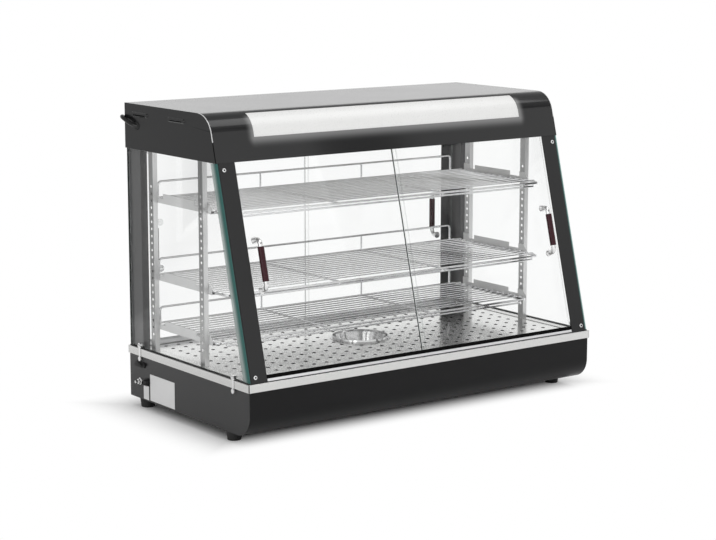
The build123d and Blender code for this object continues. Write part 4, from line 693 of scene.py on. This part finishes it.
def split(piece, place, normal, rule=None):
    """Cut faces along a plane, so that a finish can change there; a rule may pick the faces."""
    shape = bmesh.new()
    shape.from_mesh(piece.data)
    shape.normal_update()
    faces = [face for face in shape.faces if rule is None or rule(face.calc_center_median(), face.normal)]
    edges = list(dict.fromkeys(edge for face in faces for edge in face.edges))
    verts = list(dict.fromkeys(vert for face in faces for vert in face.verts))
    cut = verts + edges + faces
    bmesh.ops.bisect_plane(shape, geom=cut, dist=WELD_DISTANCE, plane_co=place, plane_no=normal)
    shape.to_mesh(piece.data)
    shape.free()


# %% Copies with their edges taken off
SHARP = math.radians(28)
FLAT = math.radians(0.5)
FULL_WEIGHT = 100
slot_of = {row["node"]: row["material_slot"] for row in frame["record"]["subparts"]}


def eased(node_name, width, segments=2, cut=None):
    """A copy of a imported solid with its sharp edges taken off, and cut along a plane if one is given."""
    shape = bmesh.new()
    shape.from_mesh(nodes[node_name].data)
    bmesh.ops.remove_doubles(shape, verts=shape.verts, dist=WELD_DISTANCE)
    bmesh.ops.dissolve_limit(shape, angle_limit=FLAT, verts=shape.verts, edges=shape.edges)
    mesh = bpy.data.meshes.new(node_name + "_eased")
    shape.to_mesh(mesh)
    shape.free()
    for layer in ("custom_normal", "sharp_face"):
        if layer in mesh.attributes:
            mesh.attributes.remove(mesh.attributes[layer])
    mesh.materials.append(nodes[node_name].data.materials[0])
    mesh.shade_smooth()
    piece = linked(node_name + "_eased", mesh)
    edge = piece.modifiers.new("edge", "BEVEL")
    edge.width = width
    edge.segments = segments
    edge.limit_method = "ANGLE"
    edge.angle_limit = SHARP
    edge.use_clamp_overlap = False
    if cut:
        bake(piece)
        split(piece, *cut)
    flats = piece.modifiers.new("flats", "WEIGHTED_NORMAL")
    flats.mode = "FACE_AREA"
    flats.weight = FULL_WEIGHT
    bake(piece)
    return piece


def add_on(piece, body):
    """The piece rides on a body."""
    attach(piece, body)
    print(piece.name, "faces", len(piece.data.polygons))


def stand_for(piece, node_name):
    """The piece rides where its node rides, and the node is hidden."""
    add_on(piece, nodes[node_name]["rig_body"])
    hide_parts(node_name)


# %% Sheet metal and small parts
SHEET_EDGE = 0.00055
FOLD_EDGE = 0.0006
RAIL_EDGE = 0.0004
SOFT_EDGE = 0.0008
EASED = {
    SHEET_EDGE: ["base_shell", "base_side_left", "base_side_right", "base_rear_panel"],
    FOLD_EDGE: ["rear_post_left", "rear_post_right"],
    RAIL_EDGE: ["rear_lower_track", "rear_upper_track", "blank_plates"],
    SOFT_EDGE: ["light_lens", "rubber_feet"],
}
for edge_width, members in EASED.items():
    for member in members:
        stand_for(eased(member, edge_width), member)

# %% [markdown]
# ## One piece, two finishes
# Some pieces show more than one surface: a knob has a white pointer, a punched plate has painted shade
# inside its holes. Faces could be picked by number, but the numbers change with the solid. A rule that
# looks at a face's place and direction picks the finish instead.

# %% Faces picked by a rule
# How squarely a face looks along a direction, as the share of its normal that points there.
LEANING = 0.3
HALFWAY = 0.5
MOSTLY = 0.9
SQUARELY = 0.99


def dress(piece, names, rule):
    """Give each face the finish whose number the rule returns for its centre and normal."""
    piece.data.materials.clear()
    for name in names:
        piece.data.materials.append(finish[name])
    for face in piece.data.polygons:
        face.material_index = int(rule(face.center, face.normal))


def dressed(node_name, width, names, rule, **easing):
    """An eased copy of a node, dressed by a rule, that stands for the node."""
    piece = eased(node_name, width, **easing)
    dress(piece, names, rule)
    stand_for(piece, node_name)


# %% [markdown]
# ### Canopy
# The canopy's end plates carry a painted highlight along the rolled part of their rim, and leave a dark
# joint below it. A cut across the rim marks where the one ends and the other begins.

# %% Shell and end plates
PLATE_EDGE = 0.0005
ROLL_FOOT = 0.597
ROLL_REAR = -0.04
FLANK = 0.97
SHELL_END = 0.4456


def end_rule(centre, normal):
    """A painted highlight on the rim round the roll, a dark joint below it, and enamel elsewhere."""
    if abs(normal.x) > FLANK or centre.y > ROLL_REAR or abs(centre.x) < SHELL_END:
        return 0
    return 1 if centre.z > ROLL_FOOT else 2


# Rim faces above the roll's foot take the plate finish as a painted highlight.
rim_end = ((0, 0, ROLL_FOOT), (0, 0, 1), end_rule)
dressed("canopy_shell", SHEET_EDGE, ["canopy_enamel", "plate", "seam"], end_rule, cut=rim_end)
for side_name in ("left", "right"):
    dressed("canopy_side_" + side_name, PLATE_EDGE, ["end_enamel", "plate", "seam"], end_rule, cut=rim_end)

# %% [markdown]
# ### Knob, pillars, shelf rails and trim
# The knob's pointer stands a little higher than its cap. The pillars have painted shade on the faces
# where the doors slide in, the pilasters' flanks have painted shade that makes them darker than their
# fronts, the brackets' ledges lie in the shade of the wires, and the trim has a dark joint at each corner.

# %% Five rules
KNOB_EDGE = 0.0002
POINTER_RISE = 0.0005
TRIM_EDGE = 0.001
JOINT_WIDTH = 0.0015
pointer_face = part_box("thermostat_knob")[1].y - POINTER_RISE
trim_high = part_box("trim_frame")[1]


def joint_rule(centre, normal):
    """Dark on the upright faces at the trim's corners."""
    at_end = abs(centre.x) > trim_high.x - JOINT_WIDTH
    at_side = abs(centre.y) > trim_high.y - JOINT_WIDTH
    return at_end and at_side and abs(normal.z) < LEANING


dressed("thermostat_knob", KNOB_EDGE, ["black_plastic", "white_plastic"],
        lambda centre, normal: centre.y > pointer_face, segments=1)
# Faces of the pillars that look towards the middle take the dark seam finish as painted shade.
for side_name, side in (("left", -1), ("right", 1)):
    dressed("front_pillar_" + side_name, FOLD_EDGE, ["pillar_enamel", "seam"],
            lambda centre, normal: normal.x * side < -LEANING)
# The pilasters' flanks take a darker steel as painted shade.
dressed("shelf_pilasters", RAIL_EDGE, ["rail_steel", "flank_steel"],
        lambda centre, normal: abs(normal.x) > HALFWAY)
dressed("shelf_brackets", RAIL_EDGE, ["zinc", "ledge"], lambda centre, normal: normal.z > MOSTLY)
dressed("trim_frame", TRIM_EDGE, ["trim_steel", "seam"], joint_rule, segments=3)

# %% [markdown]
# ### Deck and door track
# The deck is punched sheet, with painted shade inside its holes. The front doors slide in a bright
# rail with a dark band along its top and a thin line of painted shade at its foot, where it meets the
# trim. The rail is one solid, so two level cuts part it into the three.

# %% Drilled deck and front track
HOLE_EDGE = 0.00005
STRIP_FOOT = 0.1383
SHADE_LINE_TOP = 0.1332


def track_rule(centre, normal):
    """Dark top band, the line of painted shade at the foot, or rail, by height."""
    if centre.z > STRIP_FOOT:
        return 1
    return 2 if centre.z < SHADE_LINE_TOP else 0


# Upright faces, the walls of the holes, take painted shade.
dressed("deck_plate", HOLE_EDGE, ["deck_steel", "drilled"],
        lambda centre, normal: abs(normal.z) < HALFWAY, segments=1)
# The top band takes the dark seam finish; the line at the foot takes rubber as painted shade.
track_piece = eased("front_lower_track", RAIL_EDGE)
for level in (STRIP_FOOT, SHADE_LINE_TOP):
    split(track_piece, (0, 0, level), (0, 0, 1))
dress(track_piece, ["anodised", "seam", "rubber"], track_rule)
stand_for(track_piece, "front_lower_track")

# %% [markdown]
# ## Side panes
# The side panes are thick: their front edge gathers a deep green that also shows through the first
# millimetres of the outer face and pales towards the rear, and the part next to the pillar has painted
# shade.
# Refraction would need very long paths to show that. A strip of the outer face is cut off instead, and
# its finish grades from green to clear with the distance from the edge.

# %% Green rims of the side panes
PANE_CHAMFER = 0.0007
RIM_WIDTH = 0.021
RIM_PALING = (0.003, 0.015)
RIM_FADING = (0.009, 0.021)
DARK_INSIDE = 0.4432


def graded_rim(name, front_place, lean):
    """Glass near its front edge: deep green at the edge, then paler, then clear."""
    rim = Finish(name)
    forward = rim.node("ShaderNodeVectorMath", {"operation": "DOT_PRODUCT"},
                       {0: rim.place, 1: lean}, out="Value")
    gap = front_place.dot(lean) - forward
    return rim.wear({
        "Base Color": rim.blend((0.032, 0.122, 0.109), (0.27, 0.33, 0.315), rim.ease(gap, *RIM_PALING)),
        "Roughness": 0.3,
        "IOR": 1.3,
        "Alpha": rim.pick(1.0, 0.75, rim.ease(gap, *RIM_FADING)),
    })


def largest_face(mesh, test=lambda face: True):
    """The largest face of a mesh that passes a test."""
    return max(filter(test, mesh.polygons), key=lambda face: face.area)


def looks_ahead(face):
    """True of a face that looks to the front."""
    return face.normal.y < -HALFWAY


for side_name, side in (("left", -1), ("right", 1)):
    pane_piece = eased("side_glass_" + side_name, PANE_CHAMFER, segments=1)
    front_edge = largest_face(pane_piece.data, looks_ahead)
    front_place = front_edge.center.copy()
    lean = front_edge.normal.copy()
    rim_place = front_place - RIM_WIDTH * lean
    finish["rim"] = graded_rim("rim_" + side_name, front_place, lean)
    split(pane_piece, rim_place, lean)
    split(pane_piece, (side * DARK_INSIDE, 0, 0), (1, 0, 0))

    def glass_rule(centre, normal):
        """Clear faces, a green rim and edge in front, and inner and rear edges in painted shade."""
        if abs(normal.x) > SQUARELY:
            return 1 if normal.x * side > 0 and (centre - rim_place).dot(lean) > 0 else 0
        if normal.dot(lean) > HALFWAY:
            return 4 if side > 0 else 1 if abs(centre.x) > DARK_INSIDE else 2
        return 2 if normal.y > HALFWAY else 3

    dress(pane_piece, ["pane", "rim", "dark_edge", "pale_edge", "teal_edge"], glass_rule)
    stand_for(pane_piece, "side_glass_" + side_name)

# %% [markdown]
# ## Doors
# Four plain panes slide past each other. Their edges are pale, except where two doors meet near the
# middle: there the right door's edge has painted shade, and in front its chamfered corner has a painted
# highlight. Each door could have a rule of its own, but one does for all, as it asks for the edge near the
# middle that looks left.

# %% Door panes
MEETING = 0.01
for door in DOORS:
    door_piece = eased(door + "_door", PANE_CHAMFER, segments=1)
    outward = largest_face(door_piece.data).normal.copy()

    def door_rule(centre, normal):
        """Clear faces, pale edges, and a line of painted shade and one of painted highlight where the doors
        meet.
        """
        across = abs(normal.dot(outward))
        if across > SQUARELY:
            return 0
        if abs(centre.x) > MEETING or normal.x > 0:
            return 1
        if door.startswith("rear"):
            return 2 if across > LEANING else 1
        return 3 if across > LEANING else 2

    dress(door_piece, ["pane", "pale_edge", "dark_edge", "bright_edge"], door_rule)
    stand_for(door_piece, door + "_door")

# %% [markdown]
# ## Parts that repeat
# Weld beads, hole rims and screws are small and many. Copying each by a loop is slow and hides the
# pattern. A geometry tree places one shape on a grid of points, with its sizes as named inputs, and the
# result is turned into plain mesh so that it can ride on a body.


# %% A grower is a geometry tree with named sizes
class Grower(Tree):
    """A geometry tree whose named inputs are set on the piece that it grows."""

    KINDS = {float: "NodeSocketFloat", int: "NodeSocketInt"}

    def __init__(self, name, sizes):
        super().__init__(bpy.data.node_groups.new(name, "GeometryNodeTree"))
        self.sizes = sizes
        self.keys = {}
        interface = self.tree.interface
        for label, value in sizes.items():
            socket = interface.new_socket(label, in_out="INPUT", socket_type=self.KINDS[type(value)])
            self.keys[label] = socket.identifier
        interface.new_socket("Geometry", in_out="OUTPUT", socket_type="NodeSocketGeometry")
        self.entry = self.tree.nodes.new("NodeGroupInput")

    def __getitem__(self, label):
        """The socket of a named size."""
        return Wire(self, self.entry.outputs[label])

    def moved(self, shape, x=0.0, y=0.0, z=0.0, turn=(0.0, 0.0, 0.0)):
        place = self.node("ShaderNodeCombineXYZ", None, {0: x, 1: y, 2: z})
        sockets = {"Geometry": shape, "Translation": place, "Rotation": turn}
        return self.node("GeometryNodeTransform", None, sockets)

    def grid(self, width, depth, columns, rows):
        return self.node("GeometryNodeMeshGrid", None, {0: width, 1: depth, 2: columns, 3: rows})

    def rod(self, sides, radius, length):
        sockets = {"Vertices": sides, "Radius": radius, "Depth": length}
        return self.node("GeometryNodeMeshCylinder", None, sockets)

    def block(self, x, y, z):
        size = self.node("ShaderNodeCombineXYZ", None, {0: x, 1: y, 2: z})
        return self.node("GeometryNodeMeshCube", None, {"Size": size})

    def spread(self, points, shape, turn=(0.0, 0.0, 0.0)):
        sockets = {"Points": points, "Instance": shape, "Rotation": turn}
        return self.node("GeometryNodeInstanceOnPoints", None, sockets)

    def close(self, shape, material):
        whole = self.node("GeometryNodeRealizeInstances", None, {0: shape})
        finished = self.node("GeometryNodeSetMaterial", None, {"Geometry": whole, "Material": material})
        self.node("NodeGroupOutput", None, {0: finished})

    def grow(self, name, body, slot, **changed):
        """A finished piece, riding on a body."""
        piece = linked(name, bpy.data.meshes.new(name))
        grower = piece.modifiers.new("grower", "NODES")
        grower.node_group = self.tree
        for label, value in {**self.sizes, **changed}.items():
            grower[self.keys[label]] = value
        bake(piece)
        add_on(piece, body)


# %% [markdown]
# ### Weld beads
# Each long wire of a shelf is spot welded where it crosses a bar, and the molten metal stays as a small
# bead. The wires are evenly spaced, so two grids of points carry all the beads of a shelf: one for the
# frame's two sides and one for the two cross bars.

# %% Beads of the three shelves
WIRE_PITCH = 0.019
FRAME_RADIUS = 0.0025
REAR_AXIS = 0.192
RAIL_OVER_BEADS = 0.0342
ROUNDING = 1e-6

beads = Grower("weld_beads", {"frame_span": 0.827, "bar_span": 0.274, "depth": 0.2, "rows": 10,
                              "middle": 0.0, "height": 0.3, "radius": 0.0022})
side_points = beads.grid(beads["frame_span"], beads["depth"], 2, beads["rows"])
bar_points = beads.grid(beads["bar_span"], beads["depth"], 2, beads["rows"])
bead_points = beads.node("GeometryNodeJoinGeometry", None, {0: [side_points, bar_points]})
bead_points = beads.moved(bead_points, y=beads["middle"], z=beads["height"])
bead = beads.node("GeometryNodeMeshUVSphere", None, {"Segments": 8, "Rings": 5, "Radius": beads["radius"]})
beads.close(beads.spread(bead_points, bead), finish["chrome"])

for shelf_name in SHELVES:
    shelf_low, shelf_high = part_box(shelf_name)
    front_axis = shelf_low.y + FRAME_RADIUS
    depth = REAR_AXIS - front_axis
    count = int(depth / WIRE_PITCH + ROUNDING)
    step = depth / count
    beads.grow(shelf_name + "_welds", nodes[shelf_name]["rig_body"], slot_of[shelf_name],
               depth=depth - 2 * step, rows=count - 1, middle=(front_axis + REAR_AXIS) / 2,
               height=shelf_high.z - RAIL_OVER_BEADS)

# %% [markdown]
# ### Rims of the deck's holes
# The holes of the deck are punched, which rolls their rim over, and the rim is near-black, painted shade
# like the holes' walls.
# A texture of dots would swim against the holes, so a ring stands on each one. The grid skips the holes
# that the water bowl takes the place of.

# %% Rims
deck_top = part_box("deck_plate")[1].z
bowl_low, bowl_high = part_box("water_bowl")
rims = Grower("hole_rims", {"width": 0.78, "depth": 0.36, "columns": 26, "rows": 13, "level": deck_top,
                            "bowl_middle": (bowl_low.y + bowl_high.y) / 2, "keep_out": 0.075,
                            "radius": 0.0042, "roll": 0.00025})
rim_points = rims.grid(rims["width"], rims["depth"], rims["columns"], rims["rows"])
bowl_place = rims.node("ShaderNodeCombineXYZ", None, {1: rims["bowl_middle"]})
from_bowl = rims.node("ShaderNodeVectorMath", {"operation": "DISTANCE"},
                      {0: rims.node("GeometryNodeInputPosition"), 1: bowl_place}, out="Value")
rim_points = rims.node("GeometryNodeDeleteGeometry", None,
                       {"Geometry": rim_points, "Selection": rims["keep_out"] > from_bowl})
rim_line, rim_roll = [
    rims.node("GeometryNodeCurvePrimitiveCircle", None, {"Resolution": sides, "Radius": rims[label]})
    for sides, label in ((12, "radius"), (4, "roll"))
]
rim_ring = rims.node("GeometryNodeCurveToMesh", None, {"Curve": rim_line, "Profile Curve": rim_roll})
# The rings take the near-black hole finish as painted shade.
rims.close(rims.spread(rims.moved(rim_points, z=rims["level"]), rim_ring), finish["drilled"])
rims.grow("deck_hole_rims", "case", slot_of["deck_plate"])

# %% [markdown]
# ### Screws of the rear panel
# Eight pan screws hold the panel to the base. A ready-made screw would have far too many faces for its
# size. A cylinder loses a cross to a Mesh Boolean, stands on a grid of four by two points, and the
# whole grid is turned to face the rear.

# %% Pan screws
TO_REAR = (-math.pi / 2, 0.0, 0.0)
CROSS_SHARE = 1.3
panel_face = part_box("base_rear_panel")[1].y
base_low, base_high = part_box("base_shell")

pans = Grower("pan_screws", {"width": 0.872, "height": 0.077, "middle": (base_low.z + base_high.z) / 2,
                             "face": panel_face, "radius": 0.0034, "rise": 0.0016, "slot": 0.0008})
pan = pans.rod(20, pans["radius"], pans["rise"])
arm = pans.block(pans["radius"] * CROSS_SHARE, pans["slot"], pans["rise"])
arm = pans.moved(arm, z=pans["rise"] * 0.5)
cross_arm = pans.moved(arm, turn=(0.0, 0.0, math.pi / 2))
pan = pans.node("GeometryNodeMeshBoolean", {"operation": "DIFFERENCE"},
                {"Mesh 1": pan, "Mesh 2": [arm, cross_arm]})
pan_grid = pans.grid(pans["width"], pans["height"], 4, 2)
pan_row = pans.moved(pans.spread(pan_grid, pan), y=pans["face"] + pans["rise"] * 0.5,
                     z=pans["middle"], turn=TO_REAR)
pans.close(pan_row, finish["polished"])
pans.grow("rear_panel_screws", "case", slot_of["pillar_screws"])

# %% [markdown]
# ### Ribs of the thermostat knob
# The knob's neck is ribbed so that fingers don't slip. Cutting grooves would thin the neck, so one thin
# rod stands on each point of a circle, half sunk into the neck. The ring is set round the joint's axis
# and turns with the knob.

# %% Ribs
dial_joint = next(joint for joint in frame["joints"] if joint["name"] == "thermostat_turn")
DIAL_X, _, DIAL_Z = dial_joint["pos_m"]

ribs = Grower("knob_ribs", {"count": 24, "ring": 0.015, "radius": 0.0008, "length": 0.0056,
                            "centre": DIAL_X, "level": 0.2411, "middle": DIAL_Z})
rib = ribs.rod(8, ribs["radius"], ribs["length"])
rib_ring = ribs.node("GeometryNodeMeshCircle", None, {"Vertices": ribs["count"], "Radius": ribs["ring"]})
rib_row = ribs.spread(rib_ring, rib)
rib_row = ribs.moved(rib_row, ribs["centre"], ribs["level"], ribs["middle"], turn=TO_REAR)
ribs.close(rib_row, finish["black_plastic"])
ribs.grow("thermostat_knob_ribs", nodes["thermostat_knob"]["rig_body"], slot_of["thermostat_knob"])

# %% [markdown]
# ### Recesses of the pillar screws
# Each pillar screw has a socket in its head, which shows as a dark dot inside a bright ring. Four holes
# could be cut, but at this size a thin dark disc, painted shade for the socket's hollow, looks the same.
# The screws are one node, so its loose parts are told apart first, and a disc, leaning with the pillar, is
# set just proud of each head.

# %% Sockets
SOCKET_RADIUS = 0.0021
SOCKET_SIDES = 6
SOCKET_PROUD = 0.0001


def loose_parts(mesh):
    """The places of the corners of each loose part of a mesh."""
    shape = bmesh.new()
    shape.from_mesh(mesh)
    bmesh.ops.remove_doubles(shape, verts=shape.verts, dist=WELD_DISTANCE)
    parts = []
    taken = set()
    for start in shape.verts:
        if start in taken:
            continue
        taken.add(start)
        part = [start]
        for vert in part:
            others = [edge.other_vert(vert) for edge in vert.link_edges]
            fresh = [other for other in others if other not in taken]
            taken.update(fresh)
            part.extend(fresh)
        parts.append([vert.co.copy() for vert in part])
    shape.free()
    return parts


def add_piece(name, shape, finish_name, body):
    """Turn a bmesh into a piece with one finish that rides on a body."""
    mesh = bpy.data.meshes.new(name)
    shape.to_mesh(mesh)
    shape.free()
    mesh.materials.clear()
    mesh.materials.append(finish[finish_name])
    add_on(linked(name, mesh), body)


ahead = largest_face(nodes["front_pillar_left"].data, looks_ahead).normal.copy()
turned = ahead.to_track_quat("Z", "Y").to_matrix().to_4x4()
discs = bmesh.new()
for head in loose_parts(nodes["pillar_screws"].data):
    top = max(place.dot(ahead) for place in head)
    middle = sum(head, Vector()) / len(head)
    middle += (top + SOCKET_PROUD - middle.dot(ahead)) * ahead
    bmesh.ops.create_cone(discs, cap_ends=True, segments=SOCKET_SIDES, radius1=SOCKET_RADIUS,
                          radius2=SOCKET_RADIUS, depth=2 * SOCKET_PROUD,
                          matrix=Matrix.Translation(middle) @ turned)
# The dark discs are painted shade in the sockets' hollows.
add_piece("pillar_screw_sockets", discs, "seam", "case")

# %% [markdown]
# ## Print on the rear panel
# The thermostat has a ring of ticks with the temperatures beside them. They start at the top, where the
# pointer rests, and go as far round as the joint turns. Each rocker has the usual on and off signs. An
# image could carry the print, but it would blur close up. So ticks are small blocks on an arc, and text
# is a flat mesh that faces the rear. A ray from each of its points drops it onto the surface, so it
# also follows the rockers' bent faces.

# %% Ticks round the thermostat knob
DIAL_SWEEP = dial_joint["range_deg"][1]
# The ring is drawn flat and then tipped to the rear, so its top is drawn at the bottom.
DRAWN_TOP = math.radians(270)
TICK_PROUD = 0.00005
ticks = Grower("dial_ticks", {"radius": 0.0215, "start": DRAWN_TOP, "sweep": math.radians(-DIAL_SWEEP),
                              "count": 19, "length": 0.0022, "width": 0.0005, "depth": 0.0002,
                              "centre": DIAL_X, "middle": DIAL_Z, "face": panel_face + TICK_PROUD})
tick_arc = ticks.node("GeometryNodeCurveArc", None, {
    "Resolution": ticks["count"], "Radius": ticks["radius"],
    "Start Angle": ticks["start"], "Sweep Angle": ticks["sweep"]})
tick = ticks.block(ticks["width"], ticks["length"], ticks["depth"])
tick_places = ticks.node("GeometryNodeCurveToPoints", {"mode": "EVALUATED"}, {"Curve": tick_arc})
outwards = {"Vector": ticks.node("GeometryNodeInputPosition")}
tick_turn = ticks.node("FunctionNodeAlignRotationToVector", {"axis": "Y"}, outwards)
tick_ring = ticks.spread(tick_places, tick, tick_turn)
tick_ring = ticks.moved(tick_ring, ticks["centre"], ticks["face"], ticks["middle"], turn=TO_REAR)
ticks.close(tick_ring, finish["white_plastic"])
ticks.grow("dial_ticks", "case", slot_of["blank_plates"])

# %% Letters dropped onto a surface
REAR_FACING = Matrix(((-1, 0, 0, 0), (0, 0, 1, 0), (0, 1, 0, 0), (0, 0, 0, 1)))
FORWARDS = Vector((0, -1, 0))
LETTER_HEIGHT = 0.006
PRINT_PROUD = 0.00008
PRINT_START = 0.3


def printed(name, node_name, words):
    """Flat letters on a rear-facing solid; words holds the text, X and Z of each."""
    solid = nodes[node_name].data
    corners = [vert.co for vert in solid.vertices]
    surface = BVHTree.FromPolygons(corners, [face.vertices[:] for face in solid.polygons])
    ink = bmesh.new()
    for letters, x, z in words:
        line = bpy.data.curves.new(name, "FONT")
        line.body = letters
        line.size = LETTER_HEIGHT
        line.align_x = "CENTER"
        line.align_y = "CENTER"
        holder = linked(name, line)
        mesh = settled_mesh(holder)
        bpy.data.objects.remove(holder)
        mesh.transform(Matrix.Translation((x, 0, z)) @ REAR_FACING)
        for vert in mesh.vertices:
            hit = surface.ray_cast(Vector((vert.co.x, PRINT_START, vert.co.z)), FORWARDS)[0]
            vert.co.y = hit.y + PRINT_PROUD
        ink.from_mesh(mesh)
    add_piece(name, ink, "white_plastic", nodes[node_name]["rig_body"])


# %% Temperatures and switch signs
DIAL_TEXT_RADIUS = 0.0275
DIAL_STEPS = ("30", "50", "70", "90", "110")
TOP_ANGLE = 90
dial_words = []
for index, letters in enumerate(DIAL_STEPS):
    angle = math.radians(TOP_ANGLE - DIAL_SWEEP * index / (len(DIAL_STEPS) - 1))
    dial_words.append((letters, DIAL_X - DIAL_TEXT_RADIUS * math.cos(angle),
                       DIAL_Z + DIAL_TEXT_RADIUS * math.sin(angle)))
printed("dial_numbers", "base_rear_panel", dial_words)
for rocker_name in ("heat_rocker", "light_rocker"):
    rocker_low, rocker_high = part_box(rocker_name)
    middle_x = (rocker_low.x + rocker_high.x) / 2
    quarter = (rocker_high.z - rocker_low.z) / 4
    signs = [("I", middle_x, rocker_high.z - quarter), ("O", middle_x, rocker_low.z + quarter)]
    printed(rocker_name + "_signs", rocker_name, signs)
